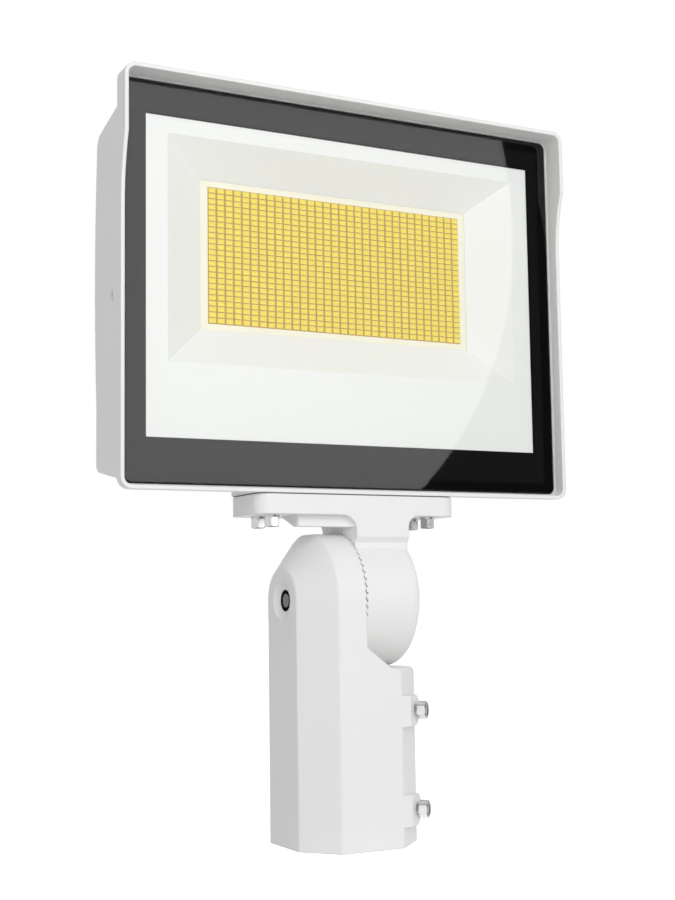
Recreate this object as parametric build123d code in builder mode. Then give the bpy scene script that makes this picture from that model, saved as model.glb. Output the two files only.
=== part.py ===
from build123d import *
import math
import os

# Outdoor flood light on a pole slip fitter, in millimetres.
# Origin: centre of the fitter's open bottom end, on the axis of the pole bore.
# +Z is up, the lens looks to -Y, and +X is to the viewer's right.

# How far a cut or a joined solid runs past the surface it meets
OVERRUN = 1.0

# Pole fitter
TENON_DIAMETER = 60.3
TENON_GAP = 0.5
BORE_DEPTH = 90.0
FITTER_WIDTH = 80.0
FITTER_DEPTH = 82.0
CHEEK_BEVEL_RUN = 18.0
CHEEK_BEVEL_RISE = 21.3
CHEEK_EDGE = 2.5
CHEEK_TOP_FLAT = 1.1
BOLT_BEVEL = 21.0
SHOULDER_DROP = 41.0
SHOULDER_ROUND = 3.5
RAMP_RUN = 16.5
RAMP_RISE = 12.5
WIRE_BORE = 20.0
WIRE_BORE_X = -17.0

# Tilting knuckle
PIVOT_HEIGHT = 146.0
JOINT_FACE_X = -3.6
JOINT_GAP = 0.1
DISC_OUTER_X = 34.5
DISC_EDGE_RADIUS = 4.5
DISC_SWEEP_GAP = 0.8
HUB_RADIUS = 11.0
WIRE_CAVITY_RADIUS = 25.0
CHEEK_WALL = 9.0
DISC_WALL = 10.0
TOOTH_COUNT = 60
TOOTH_DEPTH = 0.9
TOOTH_WIDTH = 1.0
TOOTH_INNER_RADIUS = 29.0
TOOTH_TURN = 0.8
CHEEK_TOOTH_DEPTH = 0.7
CHEEK_TOOTH_WIDTH = 1.0
CHEEK_TOOTH_MARGIN = 0.5

# Pivot bolt and its washers
PIVOT_THREAD = 10.0
PIVOT_RUNNING_GAP = 0.05
PIVOT_HEAD_FLATS = 17.0
PIVOT_HEAD_HEIGHT = 6.4
PIVOT_WASHER_DIAMETER = 20.0
PIVOT_WASHER_THICKNESS = 2.0
PIVOT_SPRING_DIAMETER = 18.1
PIVOT_SPRING_THICKNESS = 2.2
SPRING_SLOT = 1.2
RECESS_RADIUS = 12.0
RECESS_DEPTH = 2.5
RECESS_DISH_DEPTH = 1.8
RECESS_DISH_RADIUS = 9.8
RECESS_HOLE_RADIUS = 6.4
RECESS_HOLE_DEPTH = 4.5
RECESS_NOTCH_RADIUS = 7.4
RECESS_NOTCH_ANGLE = 52.0
RECESS_NOTCH = 1.1
BOLT_TIP_SETBACK = 0.3
WASHER_SEAT_GAP = 0.05

# Pole set bolts
SET_BOLT_THREAD = 6.35
SET_BOLT_RUNNING_GAP = 0.08
SET_BOLT_FLATS = 9.5
SET_BOLT_HEAD = 5.3
SET_BOLT_STAND_OFF = 1.8
SET_BOLT_HEIGHTS = {"upper": 79.3, "lower": 20.8}
SET_BOLT_TIP_GAP = 0.15
SET_BOSS_HEIGHT = 18.6
SET_BOSS_PROUD = 4.4
SET_BOSS_ROOT = 4.0
HEX_CHAMFER_SHARE = 0.96

# Arm between the knuckle and the head
NECK_RIGHT_X = 32.8
NECK_STEP_RISE = 37.7
NECK_STEP = 2.6
NECK_STEP_FALL = 3.1
NECK_LEFT_ROOT = 9.0
NECK_RIGHT_ROOT = 7.0
PLATE_RISE = 62.6
PLATE_THICKNESS = 11.8
PLATE_WIDTH = 136.0
PLATE_DEPTH = 45.6
PLATE_CENTRE_Y = -7.0
PLATE_CORNER = 9.4
RIB_LEFT_X = -39.8
RIB_DROP = 7.0
RIB_SETBACK = 6.5
RIB_FOOT = 5.5
RIB_RUN = 18.0
RIB_EDGE = 2.0
ARM_WIRE_BORE = 19.0
ARM_WIRE_X = 12.0
ARM_BOLT_THREAD = 5.0
ARM_BOLT_FLATS = 8.2
ARM_BOLT_HEAD = 5.7
ARM_BOLT_REACH = 9.0
ARM_BOLT_SPAN_X = 107.6
ARM_BOLT_SPAN_Y = 19.4
ARM_HOLE_GAP = 0.25
LOCK_WASHER_DIAMETER = 9.2
LOCK_WASHER_THICKNESS = 1.3
THREAD_GAP = 0.05
THREAD_RUN_OUT = 0.2
PAD_GASKET = 0.7
PAD_GASKET_INSET = 0.8

# Head casting
HEAD_WIDTH = 305.0
HEAD_HEIGHT = 244.3
RIM_FRONT = -29.6
VISOR_FRONT = -36.3
RING_BACK = -22.8
RIM_WALL = 2.3
RIM_CORNER = 7.0
VISOR_CURVE_START_DROP = 80.8
VISOR_CURVE_END_DROP = 40.6
LEDGE_FRONT = -19.9
LEDGE_BACK = -17.0
LEDGE_SIDE_WIDTH = 14.2
LEDGE_BOTTOM_WIDTH = 25.4
LEDGE_TOP_WIDTH = 24.5
FLANGE_SIDE_BEVEL = 3.0
FLANGE_TOP_BEVEL = 1.2
TUB_BACK = 15.0
TUB_WALL = 3.5
TUB_REAR_WALL = 5.0
TUB_SIDE_WALL = 8.0
TUB_BOTTOM_FRONT_RISE = 5.7
TUB_BOTTOM_BACK_RISE = 12.7
TUB_BOTTOM_ROUND = 5.0
TUB_TOP_FRONT_DROP = 21.3
TUB_TOP_BACK_DROP = 31.0
TUB_TOP_ROUND = 9.5
TUB_EDGE = 2.0
CROWN_BACK = 18.5
CROWN_START_RISE = 48.7
CROWN_END_DROP = 39.0
HEAT_FLOOR = -2.9
HEAT_FLOOR_THICKNESS = 4.0
FLOOR_STEP_RISE = 80.7
CAVITY_FLOOR_RISE = 15.7
FIN_COUNT = 23
FIN_THICKNESS = 2.4
FIN_MARGIN = 9.0
PAD_WIDTH = 138.0
PAD_FRONT = -24.5
PAD_BACK = 15.4
PAD_CORNER = 9.0
PAD_SETBACK = 1.0
PAD_BOLT_DEPTH = 9.5
WIRE_ENTRY = 16.0

# Lens
GLASS_THICKNESS = 3.0
GLASS_EDGE_GAP = 1.4
GLASS_CORNER = 4.7
GLASS_BEVEL = 0.9
LENS_SEAL = 1.0
LENS_SEAL_WIDTH = 7.0
LENS_SEAL_CORNER = 1.0
LENS_BEAD_HEIGHT = 1.6
LENS_BEAD_GAP = 0.1

# Reflector
REFLECTOR_SHEET = 0.8
FUNNEL_WALL = 1.5
REFLECTOR_SIDE_GAP = 1.3
REFLECTOR_BOTTOM_GAP = 11.0
REFLECTOR_TOP_GAP = 2.5
REFLECTOR_CORNER = 4.0
FUNNEL_WIDTH = 241.6
FUNNEL_HEIGHT = 135.6
FUNNEL_CENTRE_DROP = 101.3
WINDOW_WIDTH = 188.2
WINDOW_HEIGHT = 92.0
WINDOW_CENTRE_DROP = 100.0
WINDOW_BOARD_GAP = 0.3

# Light engine
THERMAL_SHEET = 0.3
BOARD_WIDTH = 220.0
BOARD_HEIGHT = 119.0
BOARD_THICKNESS = 1.6
BOARD_CORNER = 3.0
CHIP_COLUMNS = 32
CHIP_ROWS = 24
CHIP_PITCH_X = 5.577
CHIP_PITCH_Z = 3.472
CHIP_WIDTH = 4.35
CHIP_HEIGHT = 2.95
CHIP_THICKNESS = 0.8
BOARD_SCREW_THREAD = 3.0
BOARD_SCREW_HEAD = 5.5
BOARD_SCREW_HEAD_HEIGHT = 1.8
BOARD_SCREW_LENGTH = 5.2
BOARD_SCREW_MARGIN = 4.4
BOARD_SCREWS_ACROSS = 5
SOCKET_LENGTH = 12.0
SOCKET_WIDTH = 5.0
SOCKET_HEIGHT = 4.2
SOCKET_X = 26.4
SOCKET_MARGIN = 3.5

# Driver
DRIVER_LENGTH = 190.0
DRIVER_HEIGHT = 54.0
DRIVER_DEPTH = 24.5
DRIVER_RISE = 20.7
DRIVER_EDGE = 2.0
DRIVER_EAR = 13.0
DRIVER_EAR_THICKNESS = 3.0
DRIVER_SCREW_THREAD = 4.0
DRIVER_SCREW_HEAD = 7.0
DRIVER_SCREW_HEAD_HEIGHT = 2.4
DRIVER_SCREW_LENGTH = 6.0
LEAD_RADIUS = 1.1
LEAD_PITCH = 5.0
LEAD_INSERT = 1.0

# Wire grommet and breather
GROMMET_LIP = 1.8
GROMMET_LIP_THICKNESS = 1.5
GROMMET_BORE = 11.0
BREATHER_RADIUS = 3.2
BREATHER_DEPTH = 5.0
BREATHER_HOLE = 0.8
BREATHER_Y = -15.8
BREATHER_RISE = 112.1
BREATHER_PROUD = 0.4

# Places worked out from the sizes above
bore_radius = TENON_DIAMETER / 2 + TENON_GAP
half_width = FITTER_WIDTH / 2
half_depth = FITTER_DEPTH / 2
knuckle_radius = half_depth
cheek_flat = half_depth - CHEEK_BEVEL_RISE
facet_distance = (half_width + half_depth - BOLT_BEVEL) / math.sqrt(2)
boss_face = facet_distance + SET_BOSS_PROUD
arm_face_x = JOINT_FACE_X + JOINT_GAP
tooth_length = knuckle_radius + OVERRUN - TOOTH_INNER_RADIUS
tooth_centre_radius = TOOTH_INNER_RADIUS + tooth_length / 2
wire_turn_radius = (HUB_RADIUS + WIRE_CAVITY_RADIUS) / 2
wire_turn_low = PIVOT_HEIGHT - wire_turn_radius
shoulder_height = PIVOT_HEIGHT - SHOULDER_DROP
neck_step_height = PIVOT_HEIGHT + NECK_STEP_RISE
plate_top = PIVOT_HEIGHT + PLATE_RISE
plate_bottom = plate_top - PLATE_THICKNESS
plate_front = PLATE_CENTRE_Y - PLATE_DEPTH / 2
plate_back = PLATE_CENTRE_Y + PLATE_DEPTH / 2
rib_bottom = plate_bottom - RIB_DROP
head_bottom = plate_top + PAD_GASKET
visor_top = head_bottom + HEAD_HEIGHT
half_head = HEAD_WIDTH / 2
rim_inner_x = half_head - RIM_WALL
rim_inner_bottom = head_bottom + RIM_WALL
rim_inner_top = visor_top - RIM_WALL
glass_width = 2 * (rim_inner_x - GLASS_EDGE_GAP)
glass_bottom = rim_inner_bottom + GLASS_EDGE_GAP
glass_top = rim_inner_top - GLASS_EDGE_GAP
glass_height = glass_top - glass_bottom
glass_centre_z = (glass_top + glass_bottom) / 2
glass_back = LEDGE_FRONT - LENS_SEAL
cavity_half = half_head - TUB_SIDE_WALL
cavity_floor = head_bottom + CAVITY_FLOOR_RISE
floor_step_height = head_bottom + FLOOR_STEP_RISE
board_back = HEAT_FLOOR - THERMAL_SHEET
board_front = board_back - BOARD_THICKNESS
driver_back = TUB_BACK - TUB_REAR_WALL
driver_bottom = head_bottom + DRIVER_RISE
driver_top = driver_bottom + DRIVER_HEIGHT
window_centre_z = visor_top - WINDOW_CENTRE_DROP
funnel_centre_z = visor_top - FUNNEL_CENTRE_DROP
breather_z = head_bottom + BREATHER_RISE
set_bolt_in = (math.sqrt(0.5), -math.sqrt(0.5), 0)
pivot_axis = Axis((0, 0, PIVOT_HEIGHT), (1, 0, 0))


def facing(y):
    """A sketch plane at depth y whose extrusion comes towards the viewer."""
    return Plane.XZ.offset(-y)


def across(x):
    """A sketch plane square to the pivot, holding (Y, Z), extruding to +X."""
    return Plane.YZ.offset(x)


def level(z):
    """A horizontal sketch plane that extrudes upwards."""
    return Plane.XY.offset(z)


def outwards(z, distance=0.0):
    """A plane square to a set bolt, at a distance from the bore's axis."""
    turn = math.sqrt(0.5)
    place = (distance * turn, -distance * turn, z)
    return Plane(origin=place, x_dir=(turn, turn, 0), z_dir=set_bolt_in)


through_pivot = Plane(origin=(0, 0, PIVOT_HEIGHT), x_dir=(1, 0, 0), z_dir=(0, -1, 0))

# The fitter's octagon has a wide bevel on the cheek side and 45 degree flats
# for the set bolts on the other.
octagon = [
    (-half_width, cheek_flat),
    (-half_width, -cheek_flat),
    (-half_width + CHEEK_BEVEL_RUN, -half_depth),
    (half_width - BOLT_BEVEL, -half_depth),
    (half_width, -half_depth + BOLT_BEVEL),
    (half_width, half_depth - BOLT_BEVEL),
    (half_width - BOLT_BEVEL, half_depth),
    (-half_width + CHEEK_BEVEL_RUN, half_depth),
]
cheek_plan = [
    (-half_width, cheek_flat),
    (-half_width, -cheek_flat),
    (-half_width + CHEEK_BEVEL_RUN, -half_depth),
    (JOINT_FACE_X, -half_depth),
    (JOINT_FACE_X, half_depth),
    (-half_width + CHEEK_BEVEL_RUN, half_depth),
]
cheek_top = PIVOT_HEIGHT + half_depth
recess_floor_x = -half_width + RECESS_DEPTH
thread_start_x = recess_floor_x + RECESS_HOLE_DEPTH
cheek_cavity_x = -half_width + CHEEK_WALL



def soften_cheek(sketch, furthest_x):
    """Round the corners of a profile that lie on the cheek's outer side."""
    corners = sketch.vertices().filter_by(lambda v: v.X < furthest_x and abs(v.Y) > OVERRUN)
    fillet(corners, CHEEK_EDGE)


with BuildPart() as slip_fitter:
    with BuildSketch(level(0)) as body_plan:
        Polygon(*octagon, align=None)
        soften_cheek(body_plan, JOINT_FACE_X - OVERRUN)
    extrude(amount=shoulder_height)
    shoulder_edges = slip_fitter.faces().sort_by(Axis.Z)[-1].edges().filter_by(
        lambda e: e.center().X > half_width - BOLT_BEVEL
    )
    fillet(shoulder_edges, SHOULDER_ROUND)
    with BuildSketch(level(shoulder_height)) as cheek_outline:
        Polygon(*cheek_plan, align=None)
        soften_cheek(cheek_outline, JOINT_FACE_X - OVERRUN)
    extrude(amount=PIVOT_HEIGHT - shoulder_height)
    # rounded head of the cheek: the plan's half profile turned about the pivot
    with BuildSketch(through_pivot) as half_profile:
        Polygon(
            (-half_width, 0),
            (-half_width, cheek_flat),
            (-half_width + CHEEK_BEVEL_RUN, half_depth),
            (JOINT_FACE_X, half_depth),
            (JOINT_FACE_X, 0),
            align=None,
        )
        soften_cheek(half_profile, JOINT_FACE_X - OVERRUN)
    revolve(axis=pivot_axis, revolution_arc=360)
    # small flat on top of the head
    with BuildSketch(level(cheek_top - CHEEK_TOP_FLAT)):
        Rectangle(2 * FITTER_WIDTH, FITTER_DEPTH)
    extrude(amount=CHEEK_TOP_FLAT + OVERRUN, mode=Mode.SUBTRACT)
    # ramp between the cheek and the shoulder
    with BuildSketch(Plane.XZ):
        Polygon(
            (JOINT_FACE_X, shoulder_height),
            (JOINT_FACE_X + RAMP_RUN, shoulder_height),
            (JOINT_FACE_X, shoulder_height + RAMP_RISE),
            align=None,
        )
    extrude(amount=half_depth, both=True)
    # room for the arm's disc
    with BuildSketch(across(JOINT_FACE_X)):
        with Locations((0, PIVOT_HEIGHT)):
            Circle(knuckle_radius + DISC_SWEEP_GAP)
    extrude(amount=half_width - JOINT_FACE_X + OVERRUN, mode=Mode.SUBTRACT)
    # set-bolt bosses, flush with the front face
    for height in SET_BOLT_HEIGHTS.values():
        with BuildSketch(outwards(height, facet_distance - SET_BOSS_ROOT)):
            Circle(SET_BOSS_HEIGHT / 2)
            with Locations((-SET_BOSS_HEIGHT / 2, 0)):
                Rectangle(SET_BOSS_HEIGHT, SET_BOSS_HEIGHT)
        extrude(amount=SET_BOSS_PROUD + SET_BOSS_ROOT)
    with Locations((0, -1.5 * half_depth, shoulder_height / 2)):
        Box(2 * FITTER_WIDTH, half_depth, shoulder_height, mode=Mode.SUBTRACT)
    # pole bore
    with BuildSketch(level(0)):
        Circle(bore_radius)
    extrude(amount=BORE_DEPTH, mode=Mode.SUBTRACT)
    for height in SET_BOLT_HEIGHTS.values():
        with BuildSketch(outwards(height, bore_radius - OVERRUN)):
            Circle(SET_BOLT_THREAD / 2 + SET_BOLT_RUNNING_GAP)
        extrude(amount=boss_face, mode=Mode.SUBTRACT)
    # wire way through the cheek, round the pivot hub
    with BuildSketch(across(cheek_cavity_x)):
        with Locations((0, PIVOT_HEIGHT)):
            Circle(WIRE_CAVITY_RADIUS)
            Circle(HUB_RADIUS, mode=Mode.SUBTRACT)
    extrude(amount=JOINT_FACE_X - cheek_cavity_x, mode=Mode.SUBTRACT)
    with BuildSketch(level(BORE_DEPTH - OVERRUN)):
        with Locations((WIRE_BORE_X, 0)):
            Circle(WIRE_BORE / 2)
    extrude(amount=wire_turn_low - BORE_DEPTH + OVERRUN, mode=Mode.SUBTRACT)
    # dished recess, clearance hole and thread for the pivot bolt
    with BuildSketch(Plane.XZ):
        with BuildLine():
            Polyline(
                (-half_width, PIVOT_HEIGHT),
                (-half_width, PIVOT_HEIGHT + RECESS_RADIUS),
            )
            ThreePointArc(
                (-half_width, PIVOT_HEIGHT + RECESS_RADIUS),
                (-half_width + RECESS_DISH_DEPTH, PIVOT_HEIGHT + RECESS_DISH_RADIUS),
                (recess_floor_x, PIVOT_HEIGHT + RECESS_HOLE_RADIUS),
            )
            Polyline(
                (recess_floor_x, PIVOT_HEIGHT + RECESS_HOLE_RADIUS),
                (thread_start_x, PIVOT_HEIGHT + RECESS_HOLE_RADIUS),
                (thread_start_x, PIVOT_HEIGHT + PIVOT_THREAD / 2 + THREAD_GAP),
                (0, PIVOT_HEIGHT + PIVOT_THREAD / 2 + THREAD_GAP),
                (0, PIVOT_HEIGHT),
                (-half_width, PIVOT_HEIGHT),
            )
        make_face()
    revolve(axis=pivot_axis, revolution_arc=360, mode=Mode.SUBTRACT)
    # two notches at the front of the hole
    with BuildSketch(across(-half_width)):
        with Locations((0, PIVOT_HEIGHT)):
            with PolarLocations(RECESS_NOTCH_RADIUS, 2, 180 - RECESS_NOTCH_ANGLE, 4 * RECESS_NOTCH_ANGLE):
                Circle(RECESS_NOTCH / 2)
    extrude(amount=RECESS_DEPTH + RECESS_HOLE_DEPTH / 2, mode=Mode.SUBTRACT)
    # radial serrations of the joint face, set a little above the arm's at the front
    with BuildSketch(across(JOINT_FACE_X)):
        with Locations((0, PIVOT_HEIGHT)):
            with PolarLocations(tooth_centre_radius, TOOTH_COUNT, -TOOTH_TURN):
                Rectangle(tooth_length - CHEEK_TOOTH_MARGIN, CHEEK_TOOTH_WIDTH)
    extrude(amount=-CHEEK_TOOTH_DEPTH, mode=Mode.SUBTRACT)
slip_fitter.part.label = "slip_fitter"

# Arm: hollow disc, neck and top plate in one casting
disc_cavity_x = DISC_OUTER_X - DISC_WALL
rib_front = plate_front + RIB_SETBACK
rib_back = rib_front + RIB_FOOT + RIB_RUN
cove_centre = (arm_face_x - RIB_SETBACK, plate_front)
cove_middle = RIB_SETBACK * math.sqrt(0.5)
neck_centre_x = (arm_face_x + NECK_RIGHT_X) / 2
neck_width = NECK_RIGHT_X - arm_face_x

with BuildPart() as knuckle_arm:
    # stiffening rib under the plate, over the cheek, sloping up towards the rear
    with BuildSketch(across(RIB_LEFT_X)):
        Polygon(
            (rib_front, plate_bottom + OVERRUN),
            (rib_front, rib_bottom),
            (rib_front + RIB_FOOT, rib_bottom),
            (rib_back, plate_bottom),
            (rib_back, plate_bottom + OVERRUN),
            align=None,
        )
    extrude(amount=neck_centre_x - RIB_LEFT_X)
    fillet(knuckle_arm.edges().filter_by(Axis.Z).group_by(Axis.Y)[0].sort_by(Axis.X)[0], RIB_EDGE)
    # cove between the rib's front and the neck
    with BuildSketch(level(rib_bottom)):
        with BuildLine():
            Polyline(
                (arm_face_x - RIB_SETBACK, rib_front),
                (arm_face_x - RIB_SETBACK, rib_front + OVERRUN),
                (arm_face_x + OVERRUN, rib_front + OVERRUN),
                (arm_face_x + OVERRUN, plate_front),
                (arm_face_x, plate_front),
            )
            ThreePointArc(
                (arm_face_x, plate_front),
                (cove_centre[0] + cove_middle, cove_centre[1] + cove_middle),
                (arm_face_x - RIB_SETBACK, rib_front),
            )
        make_face()
    extrude(amount=RIB_DROP)
    # hollow disc
    with BuildSketch(across(arm_face_x)):
        with Locations((0, PIVOT_HEIGHT)):
            Circle(knuckle_radius)
    extrude(amount=DISC_OUTER_X - arm_face_x)
    fillet(knuckle_arm.edges().filter_by(GeomType.CIRCLE).sort_by(Axis.X)[-1], DISC_EDGE_RADIUS)
    # neck, stepped back below the plate at the front and the rear
    with BuildSketch(across(arm_face_x)):
        Polygon(
            (plate_front, plate_bottom + OVERRUN),
            (plate_front, neck_step_height),
            (plate_front + NECK_STEP, neck_step_height - NECK_STEP_FALL),
            (plate_front + NECK_STEP, PIVOT_HEIGHT),
            (plate_back - NECK_STEP, PIVOT_HEIGHT),
            (plate_back - NECK_STEP, neck_step_height - NECK_STEP_FALL),
            (plate_back, neck_step_height),
            (plate_back, plate_bottom + OVERRUN),
            align=None,
        )
    extrude(amount=neck_width)
    # curved roots of the neck under the plate
    for side_x, turn, radius in (
        (arm_face_x, -1, NECK_LEFT_ROOT),
        (NECK_RIGHT_X, 1, NECK_RIGHT_ROOT),
    ):
        with BuildSketch(facing(plate_back)):
            with BuildLine():
                Polyline(
                    (side_x, plate_bottom - radius),
                    (side_x - turn, plate_bottom - radius),
                    (side_x - turn, plate_bottom + OVERRUN),
                    (side_x + turn * radius, plate_bottom + OVERRUN),
                    (side_x + turn * radius, plate_bottom),
                )
                RadiusArc(
                    (side_x + turn * radius, plate_bottom),
                    (side_x, plate_bottom - radius),
                    -turn * radius,
                )
            make_face()
        extrude(amount=PLATE_DEPTH)
    # plate
    with BuildSketch(level(plate_bottom)):
        with Locations((0, PLATE_CENTRE_Y)):
            RectangleRounded(PLATE_WIDTH, PLATE_DEPTH, PLATE_CORNER)
    extrude(amount=PLATE_THICKNESS)
    # bolt holes
    with BuildSketch(level(plate_bottom - OVERRUN)):
        with Locations((0, PLATE_CENTRE_Y)):
            with GridLocations(ARM_BOLT_SPAN_X, ARM_BOLT_SPAN_Y, 2, 2):
                Circle(ARM_BOLT_THREAD / 2 + ARM_HOLE_GAP)
    extrude(amount=PLATE_THICKNESS + 2 * OVERRUN, mode=Mode.SUBTRACT)
    # wire way
    with BuildSketch(across(arm_face_x)):
        with Locations((0, PIVOT_HEIGHT)):
            Circle(WIRE_CAVITY_RADIUS)
            Circle(HUB_RADIUS, mode=Mode.SUBTRACT)
    extrude(amount=disc_cavity_x - arm_face_x, mode=Mode.SUBTRACT)
    with BuildSketch(level(PIVOT_HEIGHT + wire_turn_radius)):
        with Locations((ARM_WIRE_X, PLATE_CENTRE_Y)):
            Circle(ARM_WIRE_BORE / 2)
    extrude(amount=plate_top - PIVOT_HEIGHT, mode=Mode.SUBTRACT)
    # pivot hole
    with BuildSketch(across(arm_face_x - OVERRUN)):
        with Locations((0, PIVOT_HEIGHT)):
            Circle(PIVOT_THREAD / 2 + PIVOT_RUNNING_GAP)
    extrude(amount=DISC_OUTER_X - arm_face_x + 2 * OVERRUN, mode=Mode.SUBTRACT)
    # radial serrations
    with BuildSketch(across(arm_face_x)):
        with Locations((0, PIVOT_HEIGHT)):
            with PolarLocations(tooth_centre_radius, TOOTH_COUNT, TOOTH_TURN):
                Rectangle(tooth_length, TOOTH_WIDTH)
    extrude(amount=TOOTH_DEPTH, mode=Mode.SUBTRACT)
knuckle_arm.part.label = "knuckle_arm"

# Head housing: flange, visor, tub, fins and mounting pad in one casting


def tub_bottom_at(y):
    """Outer height of the tub's sloping underside at depth y."""
    share = (y - RING_BACK) / (TUB_BACK - RING_BACK)
    rise = TUB_BOTTOM_FRONT_RISE + share * (TUB_BOTTOM_BACK_RISE - TUB_BOTTOM_FRONT_RISE)
    return head_bottom + rise


def tub_top_at(y):
    """Outer height of the tub's sloping top at depth y."""
    share = (y - RING_BACK) / (TUB_BACK - RING_BACK)
    drop = TUB_TOP_FRONT_DROP + share * (TUB_TOP_BACK_DROP - TUB_TOP_FRONT_DROP)
    return visor_top - drop


head_centre_z = (visor_top + head_bottom) / 2
curve_start_z = visor_top - VISOR_CURVE_START_DROP
curve_end_z = visor_top - VISOR_CURVE_END_DROP
pocket_height = rim_inner_top - rim_inner_bottom
pocket_corner = RIM_CORNER - RIM_WALL
opening_width = 2 * (rim_inner_x - LEDGE_SIDE_WIDTH)
opening_bottom = rim_inner_bottom + LEDGE_BOTTOM_WIDTH
opening_top = rim_inner_top - LEDGE_TOP_WIDTH
opening_centre_z = (opening_top + opening_bottom) / 2
opening_height = opening_top - opening_bottom
fin_root_y = HEAT_FLOOR + HEAT_FLOOR_THICKNESS
fin_bottom = floor_step_height + TUB_WALL
slot_count = FIN_COUNT + 1
slot_width = (HEAD_WIDTH - 2 * FIN_MARGIN - FIN_COUNT * FIN_THICKNESS) / slot_count
board_screw_span_x = BOARD_WIDTH - 2 * BOARD_SCREW_MARGIN
board_screw_span_z = BOARD_HEIGHT - 2 * BOARD_SCREW_MARGIN
board_screw_pitch = board_screw_span_x / (BOARD_SCREWS_ACROSS - 1)
board_screw_hole = BOARD_SCREW_LENGTH - BOARD_THICKNESS - THERMAL_SHEET + THREAD_RUN_OUT
driver_centre_z = driver_bottom + DRIVER_HEIGHT / 2
driver_screw_x = DRIVER_LENGTH / 2 + DRIVER_EAR / 2
driver_screw_hole = DRIVER_SCREW_LENGTH - DRIVER_EAR_THICKNESS + THREAD_RUN_OUT
driver_screw_span_z = DRIVER_HEIGHT - 2 * DRIVER_EAR

crown_start_z = head_bottom + CROWN_START_RISE
crown_end_z = visor_top - CROWN_END_DROP

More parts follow.
